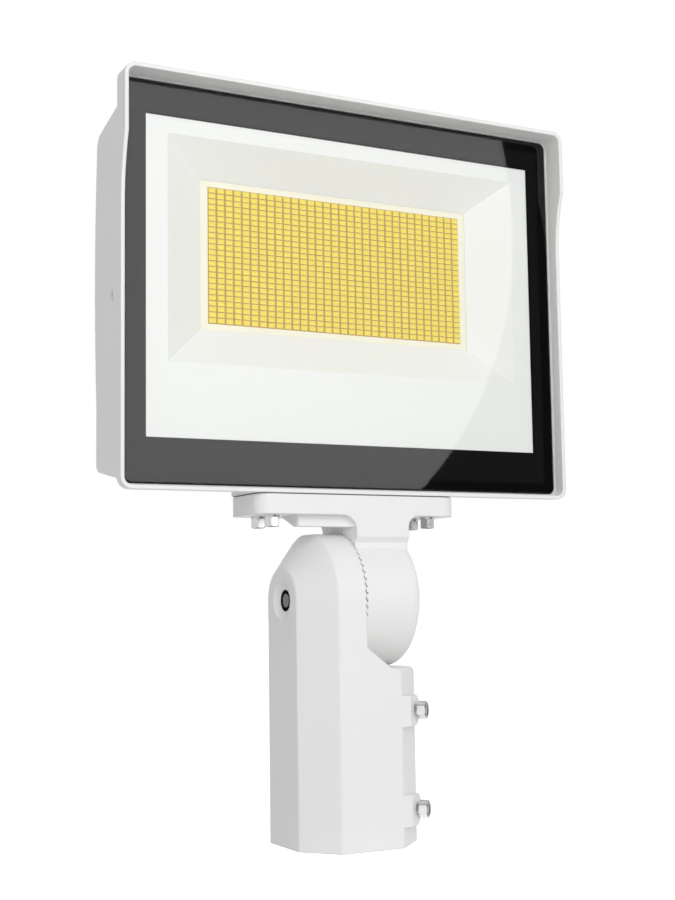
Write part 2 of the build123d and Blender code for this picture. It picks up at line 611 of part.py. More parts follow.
with BuildPart() as head_housing:
    with BuildSketch(across(-half_head)) as tub:
        with BuildLine():
            Polyline(
                (TUB_BACK, crown_end_z),
                (TUB_BACK, tub_top_at(TUB_BACK)),
                (RING_BACK, tub_top_at(RING_BACK)),
                (RING_BACK, tub_bottom_at(RING_BACK)),
                (TUB_BACK, tub_bottom_at(TUB_BACK)),
                (TUB_BACK, crown_start_z),
            )
            ThreePointArc(
                (TUB_BACK, crown_start_z),
                (CROWN_BACK, (crown_start_z + crown_end_z) / 2),
                (TUB_BACK, crown_end_z),
            )
        make_face()
        fillet(tub.vertices().sort_by(Axis.Y)[1], TUB_BOTTOM_ROUND)
        fillet(tub.vertices().sort_by(Axis.Y)[-2], TUB_TOP_ROUND)
    extrude(amount=HEAD_WIDTH)
    tub_sides = head_housing.faces().filter_by(Axis.X)
    side_edges = tub_sides.edges().filter_by(lambda e: e.center().Y > RING_BACK + OVERRUN)
    fillet(side_edges, TUB_EDGE)
    # flange and visor band
    with BuildSketch(facing(RING_BACK)):
        with Locations((0, head_centre_z)):
            RectangleRounded(HEAD_WIDTH, HEAD_HEIGHT, RIM_CORNER)
    extrude(amount=RING_BACK - VISOR_FRONT)
    # bevelled rear of the flange
    with BuildSketch(facing(RING_BACK)):
        with Locations((0, head_centre_z)):
            RectangleRounded(HEAD_WIDTH, HEAD_HEIGHT, RIM_CORNER)
    with BuildSketch(facing(LEDGE_BACK)):
        with Locations((0, head_centre_z)):
            RectangleRounded(
                HEAD_WIDTH - 2 * FLANGE_SIDE_BEVEL,
                HEAD_HEIGHT - 2 * FLANGE_TOP_BEVEL,
                RIM_CORNER - FLANGE_SIDE_BEVEL,
            )
    loft()
    # mounting pad
    with BuildSketch(level(head_bottom)):
        with Locations((0, (PAD_FRONT + PAD_BACK) / 2)):
            RectangleRounded(PAD_WIDTH, PAD_BACK - PAD_FRONT, PAD_CORNER)
    extrude(amount=cavity_floor - head_bottom - PAD_SETBACK)
    # front edge of the rim, sweeping forward into the visor
    with BuildSketch(across(-half_head - OVERRUN)):
        with BuildLine():
            Polyline(
                (VISOR_FRONT, curve_end_z),
                (VISOR_FRONT - OVERRUN, curve_end_z),
                (VISOR_FRONT - OVERRUN, head_bottom - OVERRUN),
                (RIM_FRONT, head_bottom - OVERRUN),
                (RIM_FRONT, curve_start_z),
            )
            TangentArc(
                (RIM_FRONT, curve_start_z), (VISOR_FRONT, curve_end_z), tangent=(0, 1)
            )
        make_face()
    extrude(amount=HEAD_WIDTH + 2 * OVERRUN, mode=Mode.SUBTRACT)
    # pocket for the glass
    with BuildSketch(facing(LEDGE_FRONT)):
        with Locations((0, head_centre_z)):
            RectangleRounded(2 * rim_inner_x, pocket_height, pocket_corner)
    extrude(amount=LEDGE_FRONT - VISOR_FRONT + OVERRUN, mode=Mode.SUBTRACT)
    # opening for the light
    with BuildSketch(facing(LEDGE_BACK + OVERRUN)):
        with Locations((0, opening_centre_z)):
            Rectangle(opening_width, opening_height)
    extrude(amount=LEDGE_BACK - LEDGE_FRONT + 2 * OVERRUN, mode=Mode.SUBTRACT)
    # inside: shallow behind the board, deep for the driver
    with BuildSketch(across(-cavity_half)):
        Polygon(
            (LEDGE_BACK, cavity_floor),
            (driver_back, cavity_floor),
            (driver_back, floor_step_height),
            (HEAT_FLOOR, floor_step_height),
            (HEAT_FLOOR, tub_top_at(HEAT_FLOOR) - TUB_WALL),
            (LEDGE_BACK, tub_top_at(LEDGE_BACK) - TUB_WALL),
            align=None,
        )
    extrude(amount=2 * cavity_half, mode=Mode.SUBTRACT)
    # slots between the heat fins
    with BuildSketch(facing(CROWN_BACK + OVERRUN)):
        with Locations((0, (fin_bottom + visor_top) / 2)):
            with GridLocations(slot_width + FIN_THICKNESS, 1, slot_count, 1):
                Rectangle(slot_width, visor_top - fin_bottom)
    extrude(amount=CROWN_BACK + OVERRUN - fin_root_y, mode=Mode.SUBTRACT)
    # threads and wire entry in the pad
    with BuildSketch(level(head_bottom - OVERRUN)):
        with Locations((0, PLATE_CENTRE_Y)):
            with GridLocations(ARM_BOLT_SPAN_X, ARM_BOLT_SPAN_Y, 2, 2):
                Circle(ARM_BOLT_THREAD / 2 + THREAD_GAP)
    extrude(amount=PAD_BOLT_DEPTH + OVERRUN, mode=Mode.SUBTRACT)
    with BuildSketch(level(head_bottom - OVERRUN)):
        with Locations((ARM_WIRE_X, PLATE_CENTRE_Y)):
            Circle(WIRE_ENTRY / 2)
    extrude(amount=cavity_floor - head_bottom + OVERRUN, mode=Mode.SUBTRACT)
    # board screw threads
    with BuildSketch(facing(HEAT_FLOOR + board_screw_hole)):
        with Locations((0, window_centre_z)):
            with GridLocations(board_screw_pitch, board_screw_span_z, BOARD_SCREWS_ACROSS, 2):
                Circle(BOARD_SCREW_THREAD / 2 + THREAD_GAP)
    extrude(amount=board_screw_hole, mode=Mode.SUBTRACT)
    # driver screw threads
    with BuildSketch(facing(driver_back + driver_screw_hole)):
        with Locations((0, driver_centre_z)):
            with GridLocations(2 * driver_screw_x, driver_screw_span_z, 2, 2):
                Circle(DRIVER_SCREW_THREAD / 2 + THREAD_GAP)
    extrude(amount=driver_screw_hole, mode=Mode.SUBTRACT)
    # breather seat and its air hole
    with BuildSketch(across(-half_head)):
        with Locations((BREATHER_Y, breather_z)):
            Circle(BREATHER_RADIUS)
    extrude(amount=BREATHER_DEPTH, mode=Mode.SUBTRACT)
    with BuildSketch(across(-half_head)):
        with Locations((BREATHER_Y, breather_z)):
            Circle(BREATHER_HOLE)
    extrude(amount=TUB_SIDE_WALL + OVERRUN, mode=Mode.SUBTRACT)
head_housing.part.label = "head_housing"

with BuildPart() as breather:
    with BuildSketch(across(-half_head - BREATHER_PROUD)):
        with Locations((BREATHER_Y, breather_z)):
            Circle(BREATHER_RADIUS)
    extrude(amount=BREATHER_DEPTH + BREATHER_PROUD)
    with BuildSketch(across(-half_head - BREATHER_PROUD)):
        with Locations((BREATHER_Y, breather_z)):
            Circle(BREATHER_HOLE)
    extrude(amount=BREATHER_DEPTH + BREATHER_PROUD, mode=Mode.SUBTRACT)
breather.part.label = "breather"

# Lens with its seals
with BuildPart() as lens_glass:
    with BuildSketch(facing(glass_back)):
        with Locations((0, glass_centre_z)):
            RectangleRounded(glass_width, glass_height, GLASS_CORNER)
    extrude(amount=GLASS_THICKNESS)
    chamfer(lens_glass.faces().sort_by(Axis.Y)[0].edges(), GLASS_BEVEL)
lens_glass.part.label = "lens_glass"

with BuildPart() as lens_seal:
    with BuildSketch(facing(LEDGE_FRONT)):
        with Locations((0, glass_centre_z)):
            RectangleRounded(glass_width, glass_height, GLASS_CORNER)
            RectangleRounded(
                glass_width - 2 * LENS_SEAL_WIDTH,
                glass_height - 2 * LENS_SEAL_WIDTH,
                LENS_SEAL_CORNER,
                mode=Mode.SUBTRACT,
            )
    extrude(amount=LENS_SEAL)
lens_seal.part.label = "lens_seal"

with BuildPart() as lens_bead:
    with BuildSketch(facing(LEDGE_FRONT)):
        with Locations((0, glass_centre_z)):
            RectangleRounded(2 * rim_inner_x, pocket_height, pocket_corner)
            RectangleRounded(
                glass_width + 2 * LENS_BEAD_GAP,
                glass_height + 2 * LENS_BEAD_GAP,
                GLASS_CORNER + LENS_BEAD_GAP,
                mode=Mode.SUBTRACT,
            )
    extrude(amount=LENS_BEAD_HEIGHT)
lens_bead.part.label = "lens_bead"

# Reflector: flat sheet with a four-sided funnel down to the board
reflector_back = LEDGE_FRONT
reflector_width = glass_width - 2 * (LENS_SEAL_WIDTH + REFLECTOR_SIDE_GAP)
reflector_bottom = glass_bottom + LENS_SEAL_WIDTH + REFLECTOR_BOTTOM_GAP
reflector_top = glass_top - LENS_SEAL_WIDTH - REFLECTOR_TOP_GAP
reflector_front = reflector_back - REFLECTOR_SHEET
window_y = board_front - WINDOW_BOARD_GAP

with BuildPart() as reflector:
    with BuildSketch(facing(reflector_back)):
        with Locations((0, (reflector_top + reflector_bottom) / 2)):
            RectangleRounded(reflector_width, reflector_top - reflector_bottom, REFLECTOR_CORNER)
    extrude(amount=REFLECTOR_SHEET)
    with BuildSketch(facing(reflector_front)):
        with Locations((0, funnel_centre_z)):
            Rectangle(FUNNEL_WIDTH + 2 * FUNNEL_WALL, FUNNEL_HEIGHT + 2 * FUNNEL_WALL)
    with BuildSketch(facing(window_y)):
        with Locations((0, window_centre_z)):
            Rectangle(WINDOW_WIDTH + 2 * FUNNEL_WALL, WINDOW_HEIGHT + 2 * FUNNEL_WALL)
    loft()
    with BuildSketch(facing(reflector_front)):
        with Locations((0, funnel_centre_z)):
            Rectangle(FUNNEL_WIDTH, FUNNEL_HEIGHT)
    with BuildSketch(facing(window_y)):
        with Locations((0, window_centre_z)):
            Rectangle(WINDOW_WIDTH, WINDOW_HEIGHT)
    loft(mode=Mode.SUBTRACT)
reflector.part.label = "reflector"

# Light engine
with BuildPart() as thermal_sheet:
    with BuildSketch(facing(HEAT_FLOOR)):
        with Locations((0, window_centre_z)):
            RectangleRounded(BOARD_WIDTH, BOARD_HEIGHT, BOARD_CORNER)
            with GridLocations(board_screw_pitch, board_screw_span_z, BOARD_SCREWS_ACROSS, 2):
                Circle(BOARD_SCREW_THREAD / 2 + ARM_HOLE_GAP, mode=Mode.SUBTRACT)
    extrude(amount=THERMAL_SHEET)
thermal_sheet.part.label = "thermal_sheet"

with BuildPart() as led_board:
    with BuildSketch(facing(board_back)):
        with Locations((0, window_centre_z)):
            RectangleRounded(BOARD_WIDTH, BOARD_HEIGHT, BOARD_CORNER)
            with GridLocations(board_screw_pitch, board_screw_span_z, BOARD_SCREWS_ACROSS, 2):
                Circle(BOARD_SCREW_THREAD / 2 + ARM_HOLE_GAP, mode=Mode.SUBTRACT)
    extrude(amount=BOARD_THICKNESS)
led_board.part.label = "led_board"

with BuildPart() as led_chips:
    with BuildSketch(facing(board_front)):
        with Locations((0, window_centre_z)):
            with GridLocations(CHIP_PITCH_X, CHIP_PITCH_Z, CHIP_COLUMNS, CHIP_ROWS):
                Rectangle(CHIP_WIDTH, CHIP_HEIGHT)
    extrude(amount=CHIP_THICKNESS)
led_chips.part.label = "led_chips"

with BuildPart() as board_screws:
    with BuildSketch(facing(board_front)):
        with Locations((0, window_centre_z)):
            with GridLocations(board_screw_pitch, board_screw_span_z, BOARD_SCREWS_ACROSS, 2):
                Circle(BOARD_SCREW_HEAD / 2)
    extrude(amount=BOARD_SCREW_HEAD_HEIGHT)
    with BuildSketch(facing(board_front)):
        with Locations((0, window_centre_z)):
            with GridLocations(board_screw_pitch, board_screw_span_z, BOARD_SCREWS_ACROSS, 2):
                Circle(BOARD_SCREW_THREAD / 2)
    extrude(amount=-BOARD_SCREW_LENGTH)
board_screws.part.label = "board_screws"

socket_z = window_centre_z - BOARD_HEIGHT / 2 + SOCKET_MARGIN
lead_y = board_front - SOCKET_HEIGHT / 2

with BuildPart() as board_socket:
    with BuildSketch(facing(board_front)):
        with Locations((SOCKET_X, socket_z)):
            Rectangle(SOCKET_LENGTH, SOCKET_WIDTH)
    extrude(amount=SOCKET_HEIGHT)
    with BuildSketch(level(socket_z - SOCKET_WIDTH / 2)):
        with Locations((SOCKET_X, lead_y)):
            with GridLocations(LEAD_PITCH, 1, 2, 1):
                Circle(LEAD_RADIUS)
    extrude(amount=LEAD_INSERT, mode=Mode.SUBTRACT)
board_socket.part.label = "board_socket"

# Driver in the lower part of the housing
with BuildPart() as driver_case:
    with BuildSketch(facing(driver_back)):
        with Locations((0, driver_centre_z)):
            RectangleRounded(DRIVER_LENGTH, DRIVER_HEIGHT, DRIVER_EDGE)
    extrude(amount=DRIVER_DEPTH)
    with BuildSketch(facing(driver_back)):
        with Locations((0, driver_centre_z)):
            RectangleRounded(DRIVER_LENGTH + 2 * DRIVER_EAR, DRIVER_HEIGHT, DRIVER_EDGE)
            with GridLocations(2 * driver_screw_x, driver_screw_span_z, 2, 2):
                Circle(DRIVER_SCREW_THREAD / 2 + ARM_HOLE_GAP, mode=Mode.SUBTRACT)
    extrude(amount=DRIVER_EAR_THICKNESS)
    with BuildSketch(level(driver_top)):
        with Locations((SOCKET_X, lead_y)):
            with GridLocations(LEAD_PITCH, 1, 2, 1):
                Circle(LEAD_RADIUS)
    extrude(amount=-LEAD_INSERT, mode=Mode.SUBTRACT)
driver_case.part.label = "driver_case"

ear_front = driver_back - DRIVER_EAR_THICKNESS
with BuildPart() as driver_screws:
    with BuildSketch(facing(ear_front)):
        with Locations((0, driver_centre_z)):
            with GridLocations(2 * driver_screw_x, driver_screw_span_z, 2, 2):
                Circle(DRIVER_SCREW_HEAD / 2)
    extrude(amount=DRIVER_SCREW_HEAD_HEIGHT)
    with BuildSketch(facing(ear_front)):
        with Locations((0, driver_centre_z)):
            with GridLocations(2 * driver_screw_x, driver_screw_span_z, 2, 2):
                Circle(DRIVER_SCREW_THREAD / 2)
    extrude(amount=-DRIVER_SCREW_LENGTH)
driver_screws.part.label = "driver_screws"

lead_start = driver_top - LEAD_INSERT
lead_end = socket_z - SOCKET_WIDTH / 2 + LEAD_INSERT
with BuildPart() as driver_leads:
    with BuildSketch(level(lead_start)):
        with Locations((SOCKET_X, lead_y)):
            with GridLocations(LEAD_PITCH, 1, 2, 1):
                Circle(LEAD_RADIUS)
    extrude(amount=lead_end - lead_start)
driver_leads.part.label = "driver_leads"

# Between arm and head
with BuildPart() as wire_grommet:
    with BuildSketch(level(head_bottom)):
        with Locations((ARM_WIRE_X, PLATE_CENTRE_Y)):
            Circle(WIRE_ENTRY / 2)
    extrude(amount=cavity_floor - head_bottom)
    with BuildSketch(level(cavity_floor)):
        with Locations((ARM_WIRE_X, PLATE_CENTRE_Y)):
            Circle(WIRE_ENTRY / 2 + GROMMET_LIP)
    extrude(amount=GROMMET_LIP_THICKNESS)
    with BuildSketch(level(head_bottom)):
        with Locations((ARM_WIRE_X, PLATE_CENTRE_Y)):
            Circle(GROMMET_BORE / 2)
    extrude(amount=cavity_floor - head_bottom + GROMMET_LIP_THICKNESS, mode=Mode.SUBTRACT)
wire_grommet.part.label = "wire_grommet"

with BuildPart() as pad_gasket:
    with BuildSketch(level(plate_top)):
        with Locations((0, PLATE_CENTRE_Y)):
            RectangleRounded(
                PLATE_WIDTH - 2 * PAD_GASKET_INSET,
                PLATE_DEPTH - 2 * PAD_GASKET_INSET,
                PLATE_CORNER - PAD_GASKET_INSET,
            )
            with GridLocations(ARM_BOLT_SPAN_X, ARM_BOLT_SPAN_Y, 2, 2):
                Circle(ARM_BOLT_THREAD / 2 + ARM_HOLE_GAP, mode=Mode.SUBTRACT)
        with Locations((ARM_WIRE_X, PLATE_CENTRE_Y)):
            Circle(ARM_WIRE_BORE / 2, mode=Mode.SUBTRACT)
    extrude(amount=PAD_GASKET)
pad_gasket.part.label = "pad_gasket"

below_plate = Plane(origin=(0, PLATE_CENTRE_Y, plate_bottom), x_dir=(1, 0, 0), z_dir=(0, 0, -1))

with BuildPart() as arm_lock_washers:
    with BuildSketch(below_plate):
        with GridLocations(ARM_BOLT_SPAN_X, ARM_BOLT_SPAN_Y, 2, 2):
            Circle(LOCK_WASHER_DIAMETER / 2)
            Circle(ARM_BOLT_THREAD / 2 + ARM_HOLE_GAP, mode=Mode.SUBTRACT)
            with Locations((0, LOCK_WASHER_DIAMETER / 2)):
                Rectangle(SPRING_SLOT, LOCK_WASHER_DIAMETER, mode=Mode.SUBTRACT)
    extrude(amount=LOCK_WASHER_THICKNESS)
arm_lock_washers.part.label = "arm_lock_washers"


def hex_bolts(seat, places, flats, height, thread, reach, turn=0.0):
    """Hex bolts with chamfered heads standing on the seat plane and shanks behind it."""
    corner = flats / math.sqrt(3)
    bevel = corner - HEX_CHAMFER_SHARE * flats / 2
    with BuildPart() as bolts:
        with BuildSketch(seat):
            with Locations(*places):
                Circle(corner)
        extrude(amount=height)
        ends = bolts.faces().filter_by(
            lambda f: (f.center() - seat.origin).dot(seat.z_dir) > 0.9 * height
        )
        chamfer(ends.edges(), bevel)
        with BuildSketch(seat):
            with Locations(*places):
                RegularPolygon(flats / 2, 6, major_radius=False, rotation=turn)
        extrude(amount=height, mode=Mode.INTERSECT)
        with BuildSketch(seat):
            with Locations(*places):
                Circle(thread / 2)
        extrude(amount=-reach)
    return bolts


arm_bolt_spots = [
    (sx * ARM_BOLT_SPAN_X / 2, sy * ARM_BOLT_SPAN_Y / 2) for sx in (-1, 1) for sy in (-1, 1)
]
arm_bolts = hex_bolts(
    below_plate.offset(LOCK_WASHER_THICKNESS),
    arm_bolt_spots,
    ARM_BOLT_FLATS,
    ARM_BOLT_HEAD,
    ARM_BOLT_THREAD,
    LOCK_WASHER_THICKNESS + PLATE_THICKNESS + PAD_GASKET + ARM_BOLT_REACH,
)
arm_bolts.part.label = "arm_bolts"

# Pivot bolt from the right of the disc into the cheek
washer_seat_x = DISC_OUTER_X + WASHER_SEAT_GAP
spring_seat_x = washer_seat_x + PIVOT_WASHER_THICKNESS
pivot_seat_x = spring_seat_x + PIVOT_SPRING_THICKNESS
pivot_tip_x = recess_floor_x + BOLT_TIP_SETBACK

with BuildPart() as pivot_washer:
    with BuildSketch(across(washer_seat_x)):
        with Locations((0, PIVOT_HEIGHT)):
            Circle(PIVOT_WASHER_DIAMETER / 2)
            Circle(PIVOT_THREAD / 2 + PIVOT_RUNNING_GAP, mode=Mode.SUBTRACT)
    extrude(amount=PIVOT_WASHER_THICKNESS)
pivot_washer.part.label = "pivot_washer"

with BuildPart() as pivot_spring_washer:
    with BuildSketch(across(spring_seat_x)):
        with Locations((0, PIVOT_HEIGHT)):
            Circle(PIVOT_SPRING_DIAMETER / 2)
            Circle(PIVOT_THREAD / 2 + PIVOT_RUNNING_GAP, mode=Mode.SUBTRACT)
        with Locations((PIVOT_SPRING_DIAMETER / 2, PIVOT_HEIGHT)):
            Rectangle(PIVOT_SPRING_DIAMETER, SPRING_SLOT, mode=Mode.SUBTRACT)
    extrude(amount=PIVOT_SPRING_THICKNESS)
pivot_spring_washer.part.label = "pivot_spring_washer"

pivot_bolt = hex_bolts(
    Plane(origin=(pivot_seat_x, 0, PIVOT_HEIGHT), x_dir=(0, 1, 0), z_dir=(1, 0, 0)),
    [(0, 0)],
    PIVOT_HEAD_FLATS,
    PIVOT_HEAD_HEIGHT,
    PIVOT_THREAD,
    pivot_seat_x - pivot_tip_x,
)
pivot_bolt.part.label = "pivot_bolt"


def set_bolt(height):
    """One pole set bolt, its point resting just outside the bore."""
    seat_distance = boss_face + SET_BOLT_STAND_OFF
    return hex_bolts(
        outwards(height, seat_distance),
        [(0, 0)],
        SET_BOLT_FLATS,
        SET_BOLT_HEAD,
        SET_BOLT_THREAD,
        seat_distance - bore_radius - SET_BOLT_TIP_GAP,
        90,
    )


upper_set_bolt = set_bolt(SET_BOLT_HEIGHTS["upper"])
upper_set_bolt.part.label = "upper_set_bolt"
lower_set_bolt = set_bolt(SET_BOLT_HEIGHTS["lower"])
lower_set_bolt.part.label = "lower_set_bolt"

os.makedirs("parts", exist_ok=True)
pieces = [
    slip_fitter,
    knuckle_arm,
    head_housing,
    breather,
    lens_glass,
    lens_seal,
    lens_bead,
    reflector,
    thermal_sheet,
    led_board,
    led_chips,
    board_screws,
    board_socket,
    driver_case,
    driver_screws,
    driver_leads,
    wire_grommet,
    pad_gasket,
    arm_lock_washers,
    arm_bolts,
    pivot_washer,
    pivot_spring_washer,
    pivot_bolt,
    upper_set_bolt,
    lower_set_bolt,
]
for piece in pieces:
    export_step(piece.part, f"parts/{piece.part.label}.step")
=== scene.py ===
import math

import bmesh
import bpy
from mathutils import Matrix, Vector


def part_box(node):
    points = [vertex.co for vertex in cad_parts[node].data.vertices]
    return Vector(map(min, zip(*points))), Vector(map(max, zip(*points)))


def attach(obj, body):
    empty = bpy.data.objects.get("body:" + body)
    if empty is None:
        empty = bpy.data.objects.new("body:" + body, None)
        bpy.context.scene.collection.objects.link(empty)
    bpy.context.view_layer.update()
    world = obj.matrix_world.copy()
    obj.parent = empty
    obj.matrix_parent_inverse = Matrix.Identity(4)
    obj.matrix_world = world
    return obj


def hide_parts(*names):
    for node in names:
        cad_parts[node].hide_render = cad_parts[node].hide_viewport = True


bl_info = {
    "name": "Flood light looks",
    "version": (1, 0, 0),
    "blender": (4, 5, 0),
    "location": "3D View > Sidebar > Flood light",
    "description": "Finishes, fasteners, light engine and studio for a slip-fitter flood light",
    "category": "Object",
}

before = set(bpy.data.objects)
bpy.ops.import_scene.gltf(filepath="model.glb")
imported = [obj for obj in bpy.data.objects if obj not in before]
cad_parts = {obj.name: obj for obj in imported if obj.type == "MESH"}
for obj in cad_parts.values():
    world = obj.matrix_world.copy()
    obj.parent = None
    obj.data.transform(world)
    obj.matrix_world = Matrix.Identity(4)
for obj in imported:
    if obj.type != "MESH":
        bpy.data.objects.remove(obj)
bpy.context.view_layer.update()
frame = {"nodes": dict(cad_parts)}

# Sizes shared with the part's source, in metres
PIVOT_Z = 0.146
ARM_BOLT_FLATS = 0.0082
ARM_BOLT_THREAD = 0.005
PIVOT_FLATS = 0.017
PIVOT_THREAD = 0.010
PIVOT_HOLE = 0.0064
SET_BOLT_FLATS = 0.0095
SET_BOLT_HEAD = 0.0053
SET_BOLT_THREAD = 0.00635
SET_BOLT_IN = Vector((-math.sqrt(0.5), math.sqrt(0.5), 0.0))

# Rings of a bolt head that its chamfer and end face take up, darkened as painted shade
SHADED_END_RINGS = 5
# Edges of a bolt that turn by more than this stay sharp, in degrees
SHARP_ANGLE = 35.0
# A bolt's shape: shares of its thread's pitch, of its thread's radius and of its flats
THREAD_DEPTH = 0.55
THREAD_START = 0.4
THREAD_CREST = 0.8
THREAD_STEPS = 6
POINT_RADIUS = 0.55
HEAD_TOP = 0.475
HEAD_FOOT = 0.51
HEAD_DISH = 0.045
CHAMFER_ANGLE = 30.0
# A step that keeps two rings of a bolt apart, in metres
SHORT_STEP = 1e-5

# The front lamp, in metres
LAMP_PLACE = (-0.38, -1.8, 0.9)
LAMP_AIM = (0.0, 0.0, 0.3)
LAMP_SIZE = 1.4

# The floor's half width and depth under the sleeve, in metres
FLOOR_REACH = 12.0
FLOOR_DEPTH = -0.0004
WHITE = (1.0, 1.0, 1.0, 1.0)


def middle(node):
    """Middle of a CAD node's box."""
    low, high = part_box(node)
    return (low + high) / 2


def span(node):
    """Size of a CAD node's box."""
    low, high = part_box(node)
    return high - low


class Wire:
    """A shader socket that takes part in arithmetic."""

    def __init__(self, finish, socket):
        self.finish = finish
        self.socket = socket

    def _math(self, operation, first, second):
        return self.finish.node("ShaderNodeMath", {"operation": operation}, {0: first, 1: second})

    def __add__(self, other):
        return self._math("ADD", self, other)

    def __sub__(self, other):
        return self._math("SUBTRACT", self, other)

    def __rsub__(self, other):
        return self._math("SUBTRACT", other, self)

    def __mul__(self, other):
        return self._math("MULTIPLY", self, other)

    def __lt__(self, other):
        return self._math("LESS_THAN", self, other)

    def __gt__(self, other):
        return self._math("GREATER_THAN", self, other)

    def __abs__(self):
        return self._math("ABSOLUTE", self, 0.0)


class Finish:
    """One procedural material, or the world's shader, and the nodes that make it."""

    def __init__(self, name, world=None):
        self.material = world or bpy.data.materials.new(name)
        self.material.use_nodes = True
        self.tree = self.material.node_tree
        self.tree.nodes.clear()

    def node(self, kind, settings=None, inputs=None, output=0):
        """Add a node: its settings first, then the values or links of its sockets."""
        made = self.tree.nodes.new(kind)
        for key, value in (settings or {}).items():
            setattr(made, key, value)
        for key, value in (inputs or {}).items():
            if isinstance(value, Wire):
                self.tree.links.new(value.socket, made.inputs[key])
            else:
                made.inputs[key].default_value = value
        return Wire(self, made.outputs[output]) if len(made.outputs) else made

    def place(self):
        """Object coordinates: the row frame, in metres."""
        return self.node("ShaderNodeTexCoord", output="Object")

    def axes(self):
        """The three object coordinates as numbers."""
        split = self.node("ShaderNodeSeparateXYZ", inputs={0: self.place()})
        outputs = split.socket.node.outputs
        return [Wire(self, outputs[i]) for i in range(3)]

    def noise(self, feature, detail=2.0, vector=None):
        """Noise whose blotches are about a feature's width across, in metres."""
        return self.node(
            "ShaderNodeTexNoise",
            inputs={"Vector": vector or self.place(), "Scale": 1.0 / feature, "Detail": detail},
        )

    def blend(self, share, first, second):
        """Mix two colours by a share from 0 to 1."""
        settings = {"data_type": "RGBA", "clamp_factor": True}
        return self.node(
            "ShaderNodeMix", settings, {0: share, 6: as_colour(first), 7: as_colour(second)}, 2
        )

    def spread(self, value, low, high):
        """Stretch a 0 to 1 value over a range."""
        return self.node("ShaderNodeMapRange", inputs={0: value, 3: low, 4: high})

    def bump(self, height, depth, normal=None):
        """Relief of a height map that is depth metres from its lowest to its highest."""
        inputs = {"Height": height, "Distance": depth}
        if normal:
            inputs["Normal"] = normal
        return self.node("ShaderNodeBump", inputs=inputs)

    def soft_edges(self, radius):
        """Normals that run round a body's edges, as a coat or a tumbled part has."""
        return self.node("ShaderNodeBevel", {"samples": 6}, {"Radius": radius})

    def surface(self, shader):
        self.node("ShaderNodeOutputMaterial", inputs={"Surface": shader})
        return self.material


def as_colour(value):
    """A colour with its alpha, or a link as it is."""
    if isinstance(value, Wire) or len(value) == 4:
        return value
    return (*value, 1.0)


def powder_coat(name, settings, shaded_bare_hole=False):
    """White powder coat: a fine orange peel, soft edges and a faint change of tone.

    A shaded bare hole paints the pivot's tapped hole dark: partly bare metal, dark and oily, partly
    painted shade inside the hole.
    """
    f = Finish(name)
    peel = f.noise(settings.peel, 1.0)
    grain = f.noise(settings.peel / 4, 0.0)
    cloud = f.noise(0.05, 3.0)
    tone = tuple(0.965 * c for c in settings.colour)
    base = f.blend(cloud, tone, settings.colour)
    if shaded_bare_hole:
        # painted shade: the pivot's hole is made near-black where the shade inside it falls, partly
        # for bare oily metal
        x, y, z = f.axes()
        lift = z - PIVOT_Z
        inside = (y * y + lift * lift < (PIVOT_HOLE + 0.0002) ** 2) * (
            x > recess_floor(settings)
        )
        base = f.blend(inside * (x < 0.0), base, settings.oiled)
    height = peel * 0.75 + grain * 0.25
    normal = f.bump(height, settings.peel_depth, f.soft_edges(settings.edge))
    rough = f.spread(f.noise(0.012, 4.0), settings.roughness - 0.05, settings.roughness + 0.06)
    shader = f.node(
        "ShaderNodeBsdfPrincipled",
        inputs={
            "Base Color": base,
            "Roughness": rough,
            "Normal": normal,
            "Specular IOR Level": 0.3,
        },
    )
    return f.surface(shader)


def zinc(name, settings, oily_shaded_to=None):
    """Zinc-plated steel: cloudy plating, dull cut ends darkened as painted shade, and a thread's far
    part darkened as painted shade, partly for oily metal.

    The last argument is the place along X up to which the thread is dark: partly oily metal, partly
    painted shade inside the pivot hole.
    """
    f = Finish(name)
    cloud = f.noise(0.0022, 4.0)
    dark = tuple(0.72 * c for c in settings.zinc)
    plate = f.blend(cloud, dark, settings.zinc)
    # painted shade: chamfers, end faces and caps are darkened through the mesh attribute
    shaded_turned_ends = f.node("ShaderNodeAttribute", {"attribute_name": "shaded_turned_ends"}, output="Fac")
    base = f.blend(shaded_turned_ends, plate, settings.shaded_turned_ends)
    if oily_shaded_to is not None:
        # painted shade: the bolt's thread and tip inside the hole are darkened, partly for oily
        # metal
        base = f.blend(f.axes()[0] < oily_shaded_to, base, settings.thread_oil_shade)
    rough = f.spread(f.noise(0.0012, 3.0), 0.12, 0.3)
    normal = f.bump(f.noise(0.0004, 2.0), 0.00001, f.soft_edges(0.0003))
    shader = f.node(
        "ShaderNodeBsdfPrincipled",
        inputs={"Base Color": base, "Metallic": 1.0, "Roughness": rough, "Normal": normal},
    )
    return f.surface(shader)


def rubber(name, colour, roughness=0.62, gloss=0.5):
    """Moulded rubber or silicone with a slight bloom."""
    f = Finish(name)
    bloom = f.noise(0.004, 4.0)
    base = f.blend(bloom, colour, tuple(1.4 * c for c in colour))
    rough = f.spread(f.noise(0.0015, 2.0), roughness - 0.08, roughness + 0.08)
    normal = f.bump(f.noise(0.0005, 1.0), 0.00002)
    shader = f.node(
        "ShaderNodeBsdfPrincipled",
        inputs={
            "Base Color": base,
            "Roughness": rough,
            "Normal": normal,
            "Specular IOR Level": gloss,
        },
    )
    return f.surface(shader)


